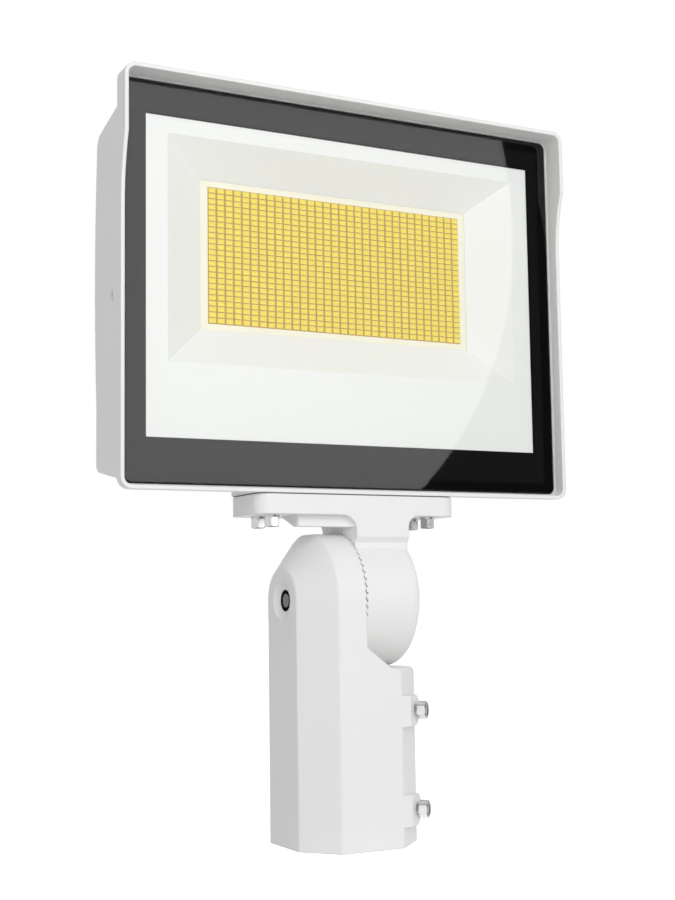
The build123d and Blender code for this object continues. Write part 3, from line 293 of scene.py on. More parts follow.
def printed_glass(settings):
    """Tempered glass, clear throughout, with a black enamel border on its back face."""
    f = Finish("lens_glass")
    x, y, z = f.axes()
    centre = middle("lens_glass")
    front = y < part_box("lens_glass")[1].y - 0.0002
    across = abs(x - (centre.x + settings.window_shift)) < settings.window_width / 2
    up = abs(z - settings.window_middle) < settings.window_height / 2
    window = across * up
    ripple = f.bump(f.noise(0.08, 0.0), 0.00002)
    smudge = f.spread(f.noise(0.03, 3.0), 0.01, 0.03)
    enamel = f.node(
        "ShaderNodeBsdfPrincipled",
        inputs={
            "Base Color": f.blend(f.noise(0.02, 2.0), settings.enamel, (0.006, 0.006, 0.0065)),
            "Roughness": f.spread(f.noise(0.004, 2.0), 0.4, 0.6),
            "Specular IOR Level": 0.0,
        },
    )
    through = f.node("ShaderNodeBsdfTransparent", inputs={"Color": (0.985, 0.99, 0.987, 1.0)})
    shine = f.node(
        "ShaderNodeBsdfGlossy",
        inputs={"Color": WHITE, "Roughness": smudge, "Normal": ripple},
    )
    slant = f.node("ShaderNodeLayerWeight", inputs={"Blend": 0.5}, output="Facing")
    head_on = f.spread(window, settings.border_gloss, settings.window_gloss)
    mirrored = head_on + (1.0 - head_on) * slant * slant * slant * slant * slant
    face = f.node("ShaderNodeMixShader", inputs={0: mirrored, 1: through, 2: shine})
    back = f.node("ShaderNodeMixShader", inputs={0: window, 1: enamel, 2: through})
    return f.surface(f.node("ShaderNodeMixShader", inputs={0: front, 1: back, 2: face}))


def white_sheet(name, colour):
    """White-coated sheet metal with a faint rolled grain."""
    f = Finish(name)
    stretched = f.node(
        "ShaderNodeMapping", inputs={"Vector": f.place(), "Scale": (1.0, 6.0, 12.0)}
    )
    grain = f.noise(0.01, 3.0, stretched)
    base = f.blend(grain, tuple(0.975 * c for c in colour), colour)
    rough = f.spread(f.noise(0.02, 3.0), 0.38, 0.5)
    normal = f.bump(f.noise(0.003, 1.0), 0.00001)
    shader = f.node(
        "ShaderNodeBsdfPrincipled",
        inputs={"Base Color": base, "Roughness": rough, "Normal": normal},
    )
    return f.surface(shader)


def board_face(settings):
    """LED board: white mask outside the array, tan mask between the chips."""
    f = Finish("board_face")
    x, _, z = f.axes()
    centre = middle("led_chips")
    half = span("led_chips") / 2
    inside = (abs(x - centre.x) < half.x + settings.margin) * (
        abs(z - centre.z) < half.z + settings.margin
    )
    mottle = f.noise(0.003, 3.0)
    tan = f.blend(mottle, tuple(0.8 * c for c in settings.tan), settings.tan)
    cream = f.blend(f.noise(0.02, 2.0), (0.9, 0.85, 0.66), settings.mask)
    base = f.blend(inside, cream, tan)
    normal = f.bump(f.noise(0.0006, 1.0), 0.00002)
    shader = f.node(
        "ShaderNodeBsdfPrincipled",
        inputs={"Base Color": base, "Roughness": f.spread(mottle, 0.35, 0.5), "Normal": normal},
    )
    return f.surface(shader)


def chip_resin(settings):
    """LED chip: yellow phosphor in a pale frame, read from the mesh's own attribute."""
    f = Finish("led_chip")
    fill = f.node("ShaderNodeAttribute", {"attribute_name": "phosphor"}, output="Fac")
    cloud = f.noise(0.0016, 3.0)
    phosphor = f.blend(cloud, tuple(0.88 * c for c in settings.phosphor), settings.phosphor)
    base = f.blend(fill, settings.frame, phosphor)
    rough = f.spread(fill, 0.5, 0.3)
    normal = f.bump(f.noise(0.0003, 1.0), 0.00001)
    shader = f.node(
        "ShaderNodeBsdfPrincipled",
        inputs={"Base Color": base, "Roughness": rough, "Normal": normal},
    )
    return f.surface(shader)


def moulded(name, colour, roughness=0.45, feature=0.001):
    """Moulded plastic or a painted can with a light spark-erosion texture."""
    f = Finish(name)
    cloud = f.noise(0.02, 3.0)
    base = f.blend(cloud, tuple(0.9 * c for c in colour), colour)
    rough = f.spread(f.noise(0.005, 3.0), roughness - 0.07, roughness + 0.07)
    normal = f.bump(f.noise(feature, 2.0), 0.00003, f.soft_edges(0.0004))
    shader = f.node(
        "ShaderNodeBsdfPrincipled",
        inputs={"Base Color": base, "Roughness": rough, "Normal": normal},
    )
    return f.surface(shader)


def recess_floor(settings):
    """Where the pivot's hole starts, along X."""
    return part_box("slip_fitter")[0].x + settings.recess


def dress(node, material):
    """Give a CAD node its finish."""
    owner = frame["nodes"][node]
    if not owner.material_slots:
        owner.data.materials.append(material)
    for held in owner.material_slots:
        held.material = material


def new_piece(name, mesh, body, slot_name, material, *replaced):
    """Put a finished mesh into the scene, riding on a body and standing for CAD nodes."""
    piece = bpy.data.objects.new(name, mesh)
    bpy.context.scene.collection.objects.link(piece)
    mesh.materials.clear()
    mesh.materials.append(material)
    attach(piece, body)
    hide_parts(*replaced)


def ring_mesh(name, rings, placing):
    """A closed mesh from rings of points, capped at both ends and placed by a matrix.

    The first ring and the last few belong to the bolt's cut ends, whose faces carry an attribute
    that darkens them as painted shade.
    """
    bm = bmesh.new()
    shaded_turned_ends = bm.faces.layers.float.new("shaded_turned_ends")
    rows = [[bm.verts.new(placing @ Vector(p)) for p in ring] for ring in rings]
    count = len(rows[0])
    for k, (lower, upper) in enumerate(zip(rows, rows[1:])):
        for i in range(count):
            j = (i + 1) % count
            face = bm.faces.new((lower[i], lower[j], upper[j], upper[i]))
            # the ends' faces are marked for the painted shade
            face[shaded_turned_ends] = float(k == 0 or k >= len(rows) - SHADED_END_RINGS)
    for cap in (list(reversed(rows[0])), rows[-1]):
        bm.faces.new(cap)[shaded_turned_ends] = 1.0
    bmesh.ops.recalc_face_normals(bm, faces=bm.faces)
    for face in bm.faces:
        face.smooth = True
    mesh = bpy.data.meshes.new(name)
    bm.to_mesh(mesh)
    bm.free()
    mesh.set_sharp_from_angle(angle=math.radians(SHARP_ANGLE))
    return mesh


def hex_bolt_rings(flats, head, thread, length, plain, pitch, corner_turn=0.0, around=48):
    """Rings of a hex bolt: point first, thread, plain shank, then the chamfered head.

    The head stands on z = 0 and rises to z = head; the shank runs down to -length.
    """
    angles = [corner_turn + 2 * math.pi * i / around for i in range(around)]
    sector = math.pi / 3

    def hex_radius(angle):
        offset = (angle - corner_turn) % sector - sector / 2
        return flats / 2 / math.cos(offset)

    def circle(radius, z):
        return [(radius * math.cos(a), radius * math.sin(a), z) for a in angles]

    outer = thread / 2
    depth = THREAD_DEPTH * pitch
    start = THREAD_START * pitch
    rings = [circle(POINT_RADIUS * outer, -length), circle(outer - depth, -length)]
    run = length - plain
    steps = max(4, round(run / pitch * THREAD_STEPS))
    for k in range(steps + 1):
        z = -length + start + (run - start) * k / steps
        ring = []
        for a in angles:
            phase = (z / pitch - a / (2 * math.pi)) % 1.0
            groove = depth * abs(2 * phase - 1) ** THREAD_CREST
            fade = min(1.0, (length + z) / pitch, (-plain - z) / pitch + 0.05)
            radius = outer - groove * max(0.0, fade) - (1 - fade) * depth * (z < -length + pitch)
            ring.append((radius * math.cos(a), radius * math.sin(a), z))
        rings.append(ring)
    if plain > 0:
        rings.append(circle(outer, -plain + SHORT_STEP))
    rings.append(circle(outer, -SHORT_STEP))
    top = HEAD_TOP * flats
    slope = math.tan(math.radians(CHAMFER_ANGLE))
    foot = [min(hex_radius(a), HEAD_FOOT * flats) for a in angles]
    rings.append([(r * math.cos(a), r * math.sin(a), 0.0) for r, a in zip(foot, angles)])
    lift = [(hex_radius(a) - r) * slope for r, a in zip(foot, angles)]
    rings.append(
        [(hex_radius(a) * math.cos(a), hex_radius(a) * math.sin(a), h) for a, h in zip(angles, lift)]
    )
    rings.append(
        [
            (
                hex_radius(a) * math.cos(a),
                hex_radius(a) * math.sin(a),
                head - (hex_radius(a) - top) * slope,
            )
            for a in angles
        ]
    )
    rings.append(circle(top, head))
    rings.append(circle(0.78 * top, head))
    rings.append(circle(0.7 * top, head - HEAD_DISH * flats))
    rings.append(circle(0.2 * top, head - HEAD_DISH * flats))
    return rings


def facing(origin, direction, up=(0.0, 0.0, 1.0)):
    """A matrix whose z runs along a direction and whose y is as near up as it can be."""
    z = Vector(direction).normalized()
    x = Vector(up).cross(z).normalized()
    y = z.cross(x)
    turn = Matrix((x, y, z)).transposed().to_4x4()
    return Matrix.Translation(origin) @ turn


def grid_tree(name, axes):
    """Geometry nodes that copy the piece's mesh over a grid and give it a material.

    axes says which world direction each grid direction takes, as Euler angles.
    """
    tree = bpy.data.node_groups.new(name, "GeometryNodeTree")
    face = tree.interface
    face.new_socket("Geometry", in_out="INPUT", socket_type="NodeSocketGeometry")
    for label in ("Columns", "Rows"):
        face.new_socket(label, in_out="INPUT", socket_type="NodeSocketInt")
    for label in ("Column pitch", "Row pitch"):
        face.new_socket(label, in_out="INPUT", socket_type="NodeSocketFloat")
    face.new_socket("Middle", in_out="INPUT", socket_type="NodeSocketVector")
    face.new_socket("Finish", in_out="INPUT", socket_type="NodeSocketMaterial")
    face.new_socket("Geometry", in_out="OUTPUT", socket_type="NodeSocketGeometry")
    nodes, links = tree.nodes, tree.links
    given = nodes.new("NodeGroupInput")
    result = nodes.new("NodeGroupOutput")
    grid = nodes.new("GeometryNodeMeshGrid")
    links.new(given.outputs["Columns"], grid.inputs["Vertices X"])
    links.new(given.outputs["Rows"], grid.inputs["Vertices Y"])
    for count, pitch, size in (
        ("Columns", "Column pitch", "Size X"),
        ("Rows", "Row pitch", "Size Y"),
    ):
        less = nodes.new("ShaderNodeMath")
        less.operation = "SUBTRACT"
        less.inputs[1].default_value = 1.0
        links.new(given.outputs[count], less.inputs[0])
        times = nodes.new("ShaderNodeMath")
        times.operation = "MULTIPLY"
        links.new(less.outputs[0], times.inputs[0])
        links.new(given.outputs[pitch], times.inputs[1])
        links.new(times.outputs[0], grid.inputs[size])
    move = nodes.new("GeometryNodeTransform")
    move.inputs["Rotation"].default_value = axes
    links.new(grid.outputs["Mesh"], move.inputs["Geometry"])
    links.new(given.outputs["Middle"], move.inputs["Translation"])
    copies = nodes.new("GeometryNodeInstanceOnPoints")
    links.new(move.outputs["Geometry"], copies.inputs["Points"])
    links.new(given.outputs["Geometry"], copies.inputs["Instance"])
    real = nodes.new("GeometryNodeRealizeInstances")
    links.new(copies.outputs["Instances"], real.inputs["Geometry"])
    painted = nodes.new("GeometryNodeSetMaterial")
    links.new(real.outputs["Geometry"], painted.inputs["Geometry"])
    links.new(given.outputs["Finish"], painted.inputs["Material"])
    links.new(painted.outputs["Geometry"], result.inputs["Geometry"])
    return tree


def grid_mesh(name, one, values, axes):
    """One mesh copied over a grid by geometry nodes, as a plain mesh."""
    tree = grid_tree(name + "_grid", axes)
    maker = bpy.data.objects.new(name + "_maker", one)
    bpy.context.scene.collection.objects.link(maker)
    modifier = maker.modifiers.new("grid", "NODES")
    modifier.node_group = tree
    for item in tree.interface.items_tree:
        if item.in_out == "INPUT" and item.name in values:
            modifier[item.identifier] = values[item.name]
    graph = bpy.context.evaluated_depsgraph_get()
    made = bpy.data.meshes.new_from_object(maker.evaluated_get(graph), depsgraph=graph)
    maker.modifiers.remove(modifier)
    bpy.data.objects.remove(maker)
    made.name = name
    return made


class CastingSettings(bpy.types.PropertyGroup):
    """Powder-coated aluminium castings."""

    colour: bpy.props.FloatVectorProperty(
        name="Coat colour",
        description="Colour of the powder coat",
        subtype="COLOR",
        size=3,
        min=0.0,
        max=1.0,
        default=(0.9, 0.9, 0.895),
    )
    # Dark of the pivot's hole: partly bare oily metal, partly painted shade inside the hole
    oiled: bpy.props.FloatVectorProperty(
        name="Bare hole",
        description="Colour of the uncoated pivot hole",
        subtype="COLOR",
        size=3,
        min=0.0,
        max=1.0,
        default=(0.02, 0.02, 0.02),
    )
    recess: bpy.props.FloatProperty(
        name="Recess depth",
        description="Depth of the coated dish round the pivot hole",
        unit="LENGTH",
        default=0.0024,
        min=0.0,
    )
    peel: bpy.props.FloatProperty(
        name="Orange peel",
        description="Width of one ripple in the coat",
        unit="LENGTH",
        default=0.0016,
        min=0.0002,
    )
    peel_depth: bpy.props.FloatProperty(
        name="Peel depth",
        description="Depth of the ripples in the coat",
        unit="LENGTH",
        default=0.000015,
        min=0.0,
    )
    edge: bpy.props.FloatProperty(
        name="Edge radius",
        description="Softness that the coat gives to every edge",
        unit="LENGTH",
        default=0.0010,
        min=0.0,
    )
    roughness: bpy.props.FloatProperty(
        name="Roughness",
        description="How matt the coat is",
        default=0.42,
        min=0.05,
        max=1.0,
    )


class LensSettings(bpy.types.PropertyGroup):
    """Glass with its printed border."""

    enamel: bpy.props.FloatVectorProperty(
        name="Border colour",
        description="Colour of the enamel print",
        subtype="COLOR",
        size=3,
        min=0.0,
        max=1.0,
        default=(0.004, 0.004, 0.0045),
    )
    border_gloss: bpy.props.FloatProperty(
        name="Border gloss",
        description="Share of light that the glass mirrors head-on over its border",
        default=0.04,
        min=0.0,
        max=1.0,
    )
    window_gloss: bpy.props.FloatProperty(
        name="Window gloss",
        description="Share of light that the clear window mirrors head-on",
        default=0.03,
        min=0.0,
        max=1.0,
    )
    window_width: bpy.props.FloatProperty(
        name="Window width",
        description="Width of the clear window",
        unit="LENGTH",
        default=0.2677,
        min=0.0,
    )
    window_height: bpy.props.FloatProperty(
        name="Window height",
        description="Height of the clear window",
        unit="LENGTH",
        default=0.1899,
        min=0.0,
    )
    window_shift: bpy.props.FloatProperty(
        name="Window shift",
        description="How far the window lies to the right of the glass's middle",
        unit="LENGTH",
        default=-0.0005,
    )
    window_middle: bpy.props.FloatProperty(
        name="Window middle",
        description="Height of the window's middle",
        unit="LENGTH",
        default=0.33495,
    )


class EngineSettings(bpy.types.PropertyGroup):
    """LED board and its chips."""

    columns: bpy.props.IntProperty(
        name="Columns", description="Chips across", default=32, min=1, max=200
    )
    rows: bpy.props.IntProperty(
        name="Rows", description="Chips from bottom to top", default=24, min=1, max=200
    )
    chip_width: bpy.props.FloatProperty(
        name="Chip width", description="Width of a chip", unit="LENGTH", default=0.00435
    )
    chip_height: bpy.props.FloatProperty(
        name="Chip height", description="Height of a chip", unit="LENGTH", default=0.00295
    )
    phosphor: bpy.props.FloatVectorProperty(
        name="Phosphor",
        description="Colour of the phosphor resin",
        subtype="COLOR",
        size=3,
        min=0.0,
        max=1.0,
        default=(0.97, 0.76, 0.03),
    )
    frame: bpy.props.FloatVectorProperty(
        name="Chip frame",
        description="Colour of the chip's moulded frame",
        subtype="COLOR",
        size=3,
        min=0.0,
        max=1.0,
        default=(0.92, 0.76, 0.15),
    )
    tan: bpy.props.FloatVectorProperty(
        name="Board tan",
        description="Board colour between the chips",
        subtype="COLOR",
        size=3,
        min=0.0,
        max=1.0,
        default=(0.56, 0.32, 0.05),
    )
    mask: bpy.props.FloatVectorProperty(
        name="Board mask",
        description="Board colour outside the array",
        subtype="COLOR",
        size=3,
        min=0.0,
        max=1.0,
        default=(0.95, 0.93, 0.8),
    )
    margin: bpy.props.FloatProperty(
        name="Tan margin",
        description="How far the tan runs past the outer chips",
        unit="LENGTH",
        default=0.0006,
    )


class FastenerSettings(bpy.types.PropertyGroup):
    """Zinc-plated bolts and washers."""

    zinc: bpy.props.FloatVectorProperty(
        name="Zinc colour",
        description="Colour of the zinc plating",
        subtype="COLOR",
        size=3,
        min=0.0,
        max=1.0,
        default=(0.7, 0.7, 0.69),
    )
    # Dark of chamfers, end faces and caps: painted shade, partly dull bare metal
    shaded_turned_ends: bpy.props.FloatVectorProperty(
        name="Turned ends",
        description="Colour of chamfers and end faces, which the plating leaves dull",
        subtype="COLOR",
        size=3,
        min=0.0,
        max=1.0,
        default=(0.16, 0.16, 0.165),
    )
    # Dark of the pivot bolt's thread in its hole: partly oily metal, partly painted shade
    thread_oil_shade: bpy.props.FloatVectorProperty(
        name="Oiled thread",
        description="Colour of the pivot bolt's oiled thread",
        subtype="COLOR",
        size=3,
        min=0.0,
        max=1.0,
        default=(0.1, 0.1, 0.1),
    )
    arm_pitch: bpy.props.FloatProperty(
        name="Small thread pitch",
        description="Thread pitch of the arm bolts",
        unit="LENGTH",
        default=0.0008,
    )
    set_pitch: bpy.props.FloatProperty(
        name="Set bolt pitch",
        description="Thread pitch of the pole set bolts",
        unit="LENGTH",
        default=0.00127,
    )
    pivot_pitch: bpy.props.FloatProperty(
        name="Pivot pitch",
        description="Thread pitch of the pivot bolt",
        unit="LENGTH",
        default=0.0015,
    )


class StudioSettings(bpy.types.PropertyGroup):
    """Camera, floor and lamps."""

    lens: bpy.props.FloatProperty(
        name="Focal length",
        description="Focal length on a 36 mm high frame, in millimetres",
        default=57.74,
        min=1.0,
    )
    sky: bpy.props.FloatProperty(
        name="Ambient light",
        description="Strength of the light from all round",
        default=0.46,
        min=0.0,
    )
    sky_front: bpy.props.FloatProperty(
        name="Front share",
        description="How much stronger the ambient light is in front and weaker behind",
        default=0.12,
    )
    key: bpy.props.FloatProperty(
        name="Front light",
        description="Power of the large soft lamp in front, in watts",
        default=17.0,
        min=0.0,
    )
    floor_lift: bpy.props.FloatProperty(
        name="Floor white",
        description="How far the floor's own white lifts it where it is seen",
        default=0.82,
        min=0.0,
    )
    disc: bpy.props.FloatProperty(
        name="Soft disc",
        description="Brightness of the round diffuser that the glass mirrors",
        default=2.4,
        min=0.0,
    )
    flag: bpy.props.FloatProperty(
        name="Flag",
        description="Brightness of the dark cloth round the diffuser",
        default=0.1,
        min=0.0,
    )


class FLOOD_OT_castings(bpy.types.Operator):
    """Coat the three castings"""

    bl_idname = "flood.castings"
    bl_label = "Castings"

    def execute(self, context):
        settings = context.scene.flood_castings
        coat = powder_coat("white_powder_coat", settings)
        for node in ("knuckle_arm", "head_housing"):
            dress(node, coat)
        # the fitter's coat carries the painted shade in the pivot's hole
        dress("slip_fitter", powder_coat("fitter_powder_coat", settings, shaded_bare_hole=True))
        return {"FINISHED"}


class FLOOD_OT_lens(bpy.types.Operator):
    """Finish the glass, its seals and the breather"""

    bl_idname = "flood.lens"
    bl_label = "Lens and seals"

    def execute(self, context):
        dress("lens_glass", printed_glass(context.scene.flood_lens))
        dress("lens_seal", rubber("lens_seal_silicone", (0.005, 0.005, 0.005), gloss=0.0))
        dress("lens_bead", rubber("lens_bead_silicone", (0.55, 0.55, 0.54), 0.5))
        dress("pad_gasket", rubber("pad_gasket_rubber", (0.1, 0.1, 0.1)))
        dress("wire_grommet", rubber("grommet_rubber", (0.02, 0.02, 0.02)))
        dress("breather", moulded("breather_plastic", (0.8, 0.8, 0.79)))
        return {"FINISHED"}


class FLOOD_OT_engine(bpy.types.Operator):
    """Finish the reflector and board and set the chips out on it"""

    bl_idname = "flood.engine"
    bl_label = "Light engine"

    def execute(self, context):
        settings = context.scene.flood_engine
        dress("reflector", white_sheet("reflector_white", (0.92, 0.92, 0.905)))
        dress("led_board", board_face(settings))
        dress("thermal_sheet", moulded("thermal_pad", (0.45, 0.45, 0.47), 0.7))
        dress("board_socket", moulded("socket_plastic", (0.85, 0.84, 0.8), 0.4))
        low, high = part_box("led_chips")
        tall = high.y - low.y
        pitch_x = (high.x - low.x - settings.chip_width) / (settings.columns - 1)
        pitch_z = (high.z - low.z - settings.chip_height) / (settings.rows - 1)
        one = chip_mesh(settings.chip_width, settings.chip_height, tall)
        finish = chip_resin(settings)
        values = {
            "Columns": settings.columns,
            "Rows": settings.rows,
            "Column pitch": pitch_x,
            "Row pitch": pitch_z,
            "Middle": ((low.x + high.x) / 2, high.y, (low.z + high.z) / 2),
            "Finish": finish,
        }
        mesh = grid_mesh("led_chip_array", one, values, (math.pi / 2, 0.0, 0.0))
        new_piece("led_chip_array", mesh, "head", "chip_resin", finish, "led_chips")
        return {"FINISHED"}


def chip_mesh(width, height, tall):
    """One LED chip facing -Y: a moulded frame with a shallow pool of phosphor."""
    bm = bmesh.new()
    fill = bm.faces.layers.float.new("phosphor")

    def ring(inset, y):
        w, h = width / 2 - inset, height / 2 - inset
        return [bm.verts.new((sx * w, y, sz * h)) for sx, sz in ((-1, -1), (1, -1), (1, 1), (-1, 1))]

    wall = 0.00028
    rings = [
        ring(0.0, 0.0),
        ring(0.0, -0.85 * tall),
        ring(0.1 * wall, -tall),
        ring(wall, -tall),
        ring(1.6 * wall, -0.82 * tall),
    ]
    for lower, upper in zip(rings, rings[1:]):
        for i in range(4):
            j = (i + 1) % 4
            bm.faces.new((lower[i], lower[j], upper[j], upper[i]))
    bm.faces.new(list(reversed(rings[0])))
    pool = bm.faces.new(rings[-1])
    pool[fill] = 1.0
    bmesh.ops.recalc_face_normals(bm, faces=bm.faces)
    mesh = bpy.data.meshes.new("led_chip")
    bm.to_mesh(mesh)
    bm.free()
    return mesh


class FLOOD_OT_driver(bpy.types.Operator):
    """Finish the driver, its leads and the hidden screws"""

    bl_idname = "flood.driver"
    bl_label = "Driver"

    def execute(self, context):
        steel = zinc("inner_screw_zinc", context.scene.flood_fasteners)
        for node in ("board_screws", "driver_screws"):
            dress(node, steel)
        dress("driver_case", moulded("driver_can", (0.5, 0.51, 0.53), 0.35, 0.002))
        dress("driver_leads", moulded("lead_sleeve", (0.6, 0.04, 0.03), 0.4))
        return {"FINISHED"}


class FLOOD_OT_arm_bolts(bpy.types.Operator):
    """Set four hex bolts and their washers under the arm plate"""

    bl_idname = "flood.arm_bolts"
    bl_label = "Arm bolts"

    def execute(self, context):
        settings = context.scene.flood_fasteners
        steel = zinc("arm_bolt_zinc", settings)
        dress("arm_lock_washers", steel)
        low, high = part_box("arm_bolts")
        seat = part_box("arm_lock_washers")[0].z
        head = seat - low.z
        flats = ARM_BOLT_FLATS
        corner = flats / math.sqrt(3)
        rings = hex_bolt_rings(
            flats, head, ARM_BOLT_THREAD, high.z - seat, 0.012, settings.arm_pitch
        )
        one = ring_mesh("arm_bolt", rings, facing((0, 0, 0), (0, 0, -1), (0, 1, 0)))
        values = {
            "Columns": 2,
            "Rows": 2,
            "Column pitch": high.x - low.x - 2 * corner,
            "Row pitch": high.y - low.y - flats,
            "Middle": ((low.x + high.x) / 2, (low.y + high.y) / 2, seat),
            "Finish": steel,
        }
        mesh = grid_mesh("arm_hex_bolts", one, values, (0.0, 0.0, 0.0))
        new_piece("arm_hex_bolts", mesh, "head", "zinc_steel", steel, "arm_bolts")
        return {"FINISHED"}


class FLOOD_OT_pole_bolts(bpy.types.Operator):
    """Cut the pivot bolt and the two pole set bolts with real threads"""

    bl_idname = "flood.pole_bolts"
    bl_label = "Pivot and set bolts"

    def execute(self, context):
        settings = context.scene.flood_fasteners
        steel = zinc("pole_bolt_zinc", settings)
        for node in ("pivot_washer", "pivot_spring_washer"):
            dress(node, steel)
        low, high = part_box("pivot_bolt")
        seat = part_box("pivot_spring_washer")[1].x
        rings = hex_bolt_rings(
            PIVOT_FLATS,
            high.x - seat,
            PIVOT_THREAD,
            seat - low.x,
            seat,
            settings.pivot_pitch,
            around=60,
        )
        mesh = ring_mesh("pivot_bolt_mesh", rings, facing((seat, 0, PIVOT_Z), (1, 0, 0)))
        # the pivot bolt's material darkens its thread in the hole as painted shade, partly for oily
        # metal
        oiled = zinc("pivot_bolt_zinc", settings, oily_shaded_to=0.0)
        new_piece("pivot_hex_bolt", mesh, "fitter", "zinc_steel", oiled, "pivot_bolt")
        for node, body in (("upper_set_bolt", "upper_bolt"), ("lower_set_bolt", "lower_bolt")):
            low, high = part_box(node)
            rise = (low.z + high.z) / 2
            point, far = set_bolt_ends(node)
            head = SET_BOLT_HEAD
            rings = hex_bolt_rings(
                SET_BOLT_FLATS,
                head,
                SET_BOLT_THREAD,
                far - head - point,
                0.0,
                settings.set_pitch,
                math.pi / 2,
            )
            origin = -SET_BOLT_IN * (far - head)
            placing = facing((origin.x, origin.y, rise), -SET_BOLT_IN)
            mesh = ring_mesh(node + "_mesh", rings, placing)
            new_piece(node.replace("set", "pole_set"), mesh, body, "zinc_steel", steel, node)
        return {"FINISHED"}


def set_bolt_ends(node):
    """How far a set bolt's two ends are from the bore's axis."""
    places = [-(v.co.dot(SET_BOLT_IN)) for v in frame["nodes"][node].data.vertices]
    return min(places), max(places)


class FLOOD_OT_studio(bpy.types.Operator):
    """Set up the camera, floor, lamps and world"""

    bl_idname = "flood.studio"
    bl_label = "Studio"

    def execute(self, context):
        settings = context.scene.flood_studio
        scene = context.scene
        scene.view_settings.view_transform = "Standard"
        add_camera(scene, settings)
        add_floor(scene, settings)
        add_world(scene, settings)
        add_front_lamp(scene, settings)
        add_diffuser(scene, settings)
        return {"FINISHED"}


def add_camera(scene, settings):
    """The photograph's viewpoint, solved from its parallel edges."""
    data = bpy.data.cameras.new("camera")
    data.lens = settings.lens
    data.sensor_width = 36.0
    data.clip_start = 0.02
    data.clip_end = 60.0
    camera = bpy.data.objects.new("camera", data)
    scene.collection.objects.link(camera)
    right = Vector((0.88574, -0.46397, -0.01423))
    forward = Vector((0.46279, 0.88030, 0.10439))
    turn = Matrix((right, right.cross(forward), -forward)).transposed().to_4x4()
    camera.matrix_world = Matrix.Translation((-0.4178, -0.7941, 0.1450)) @ turn
    scene.camera = camera


def seen_share(f):
    """1 for rays that show a background: from the camera, off gloss or through glass."""
    path = f.node("ShaderNodeLightPath", output="Is Camera Ray")
    outputs = path.socket.node.outputs
    total = path + Wire(f, outputs["Is Glossy Ray"]) + Wire(f, outputs["Is Transmission Ray"])
    return f.node("ShaderNodeMath", {"operation": "MINIMUM"}, {0: total, 1: 1.0})


def add_floor(scene, settings):
    """A pale floor that shows white but keeps the shadow."""
    signs = ((-1, -1), (1, -1), (1, 1), (-1, 1))
    corners = [(x * FLOOR_REACH, y * FLOOR_REACH, FLOOR_DEPTH) for x, y in signs]
    f = Finish("studio_floor")
    pale = f.node("ShaderNodeBsdfDiffuse", inputs={"Color": (0.86, 0.86, 0.86, 1.0)})
    strength = seen_share(f) * settings.floor_lift
    lift = f.node("ShaderNodeEmission", inputs={"Color": WHITE, "Strength": strength})
    shader = f.node("ShaderNodeAddShader", inputs={0: pale, 1: lift})
    add_card(scene, "floor", corners, f.surface(shader))


def add_card(scene, name, corners, material):
    """A flat four-sided piece of the studio."""
    mesh = bpy.data.meshes.new(name)
    mesh.from_pydata(corners, [], [(0, 1, 2, 3)])
    mesh.materials.append(material)
    card = bpy.data.objects.new(name, mesh)
    scene.collection.objects.link(card)
    return card


def add_diffuser(scene, settings):
    """A round diffuser in a dark cloth, which only gloss shows."""
    depth = -2.0
    centre_x, centre_z, radius = 0.648, 1.009, 0.853
    low_x, high_x, low_z, high_z = -0.3, 2.4, 0.05, 2.1
    corners = [
        (low_x, depth, low_z),
        (low_x, depth, high_z),
        (high_x, depth, high_z),
        (high_x, depth, low_z),
    ]
    f = Finish("studio_diffuser")
    x, _, z = f.axes()
    away_x, away_z = x - centre_x, z - centre_z
    disc = away_x * away_x + away_z * away_z < radius**2
    strength = disc * (settings.disc - settings.flag) + settings.flag
    glow = f.node("ShaderNodeEmission", inputs={"Color": WHITE, "Strength": strength})
    card = add_card(scene, "diffuser", corners, f.surface(glow))
    card.visible_camera = False
    card.visible_diffuse = False
    card.visible_transmission = False
    card.visible_shadow = False


def add_world(scene, settings):
    """White where the world is seen; where it lights, stronger in front than behind."""
    world = bpy.data.worlds.new("studio_world")
    scene.world = world
    world.use_nodes = True
    f = Finish("studio_world", world)
    split = f.node(
        "ShaderNodeSeparateXYZ", inputs={0: f.node("ShaderNodeTexCoord", output="Generated")}
    )
    y = Wire(f, split.socket.node.outputs[1])
    light = y * -settings.sky_front + settings.sky
    strength = light + seen_share(f) * (1.0 - light)
    glow = f.node("ShaderNodeBackground", inputs={"Color": WHITE, "Strength": strength})
    f.node("ShaderNodeOutputWorld", inputs={"Surface": glow})


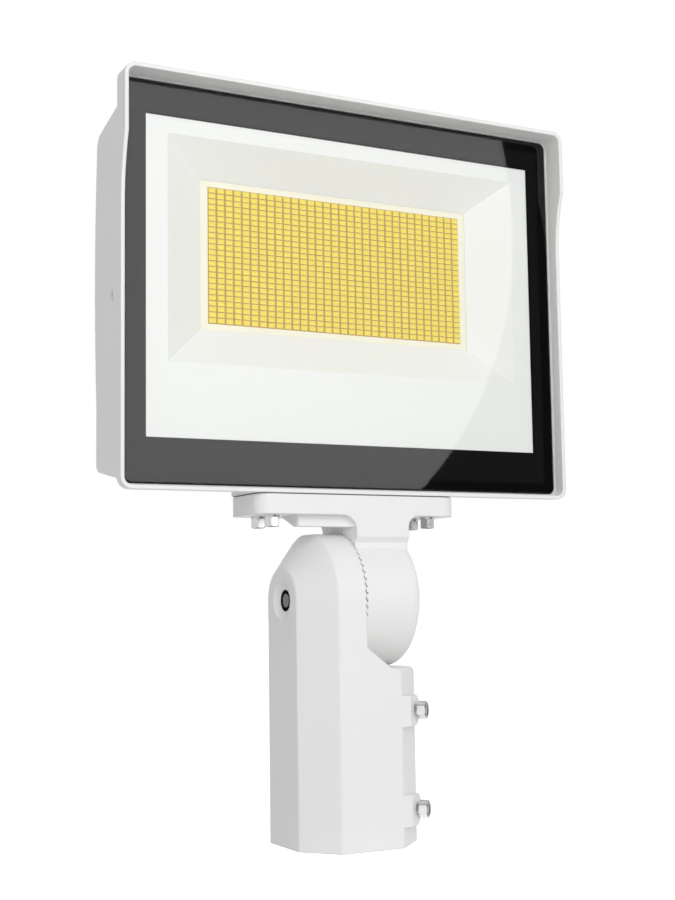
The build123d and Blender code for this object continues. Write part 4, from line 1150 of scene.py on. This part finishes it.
def add_front_lamp(scene, settings):
    """A large soft lamp in front of the head and a little to its left."""
    data = bpy.data.lights.new("front_lamp", "AREA")
    data.shape = "DISK"
    data.size = LAMP_SIZE
    data.energy = settings.key
    lamp = bpy.data.objects.new("front_lamp", data)
    scene.collection.objects.link(lamp)
    aim = Vector(LAMP_AIM) - Vector(LAMP_PLACE)
    lamp.rotation_mode = "QUATERNION"
    lamp.rotation_quaternion = aim.to_track_quat("-Z", "Y")
    lamp.location = LAMP_PLACE
    lamp.visible_glossy = False


class FLOOD_PT_panel(bpy.types.Panel):
    """Lists the pieces of the flood light"""

    bl_idname = "FLOOD_PT_panel"
    bl_label = "Flood light"
    bl_space_type = "VIEW_3D"
    bl_region_type = "UI"
    bl_category = "Flood light"

    def draw(self, context):
        layout = self.layout
        for operator in OPERATORS:
            layout.operator(operator.bl_idname)
        for settings in GROUPS:
            group = getattr(context.scene, settings)
            box = layout.box()
            for name in group.bl_rna.properties.keys():
                if name not in ("rna_type", "name"):
                    box.prop(group, name)


OPERATORS = (
    FLOOD_OT_castings,
    FLOOD_OT_lens,
    FLOOD_OT_engine,
    FLOOD_OT_driver,
    FLOOD_OT_arm_bolts,
    FLOOD_OT_pole_bolts,
    FLOOD_OT_studio,
)
GROUPS = {
    "flood_castings": CastingSettings,
    "flood_lens": LensSettings,
    "flood_engine": EngineSettings,
    "flood_fasteners": FastenerSettings,
    "flood_studio": StudioSettings,
}


def register():
    for kind in (*GROUPS.values(), *OPERATORS, FLOOD_PT_panel):
        bpy.utils.register_class(kind)
    for name, kind in GROUPS.items():
        setattr(bpy.types.Scene, name, bpy.props.PointerProperty(type=kind))


def unregister():
    for name in GROUPS:
        delattr(bpy.types.Scene, name)
    for kind in reversed((*GROUPS.values(), *OPERATORS, FLOOD_PT_panel)):
        bpy.utils.unregister_class(kind)


def main():
    register()
    for operator in OPERATORS:
        group, action = operator.bl_idname.split(".")
        getattr(getattr(bpy.ops, group), action)()


if __name__ == "__main__":
    main()
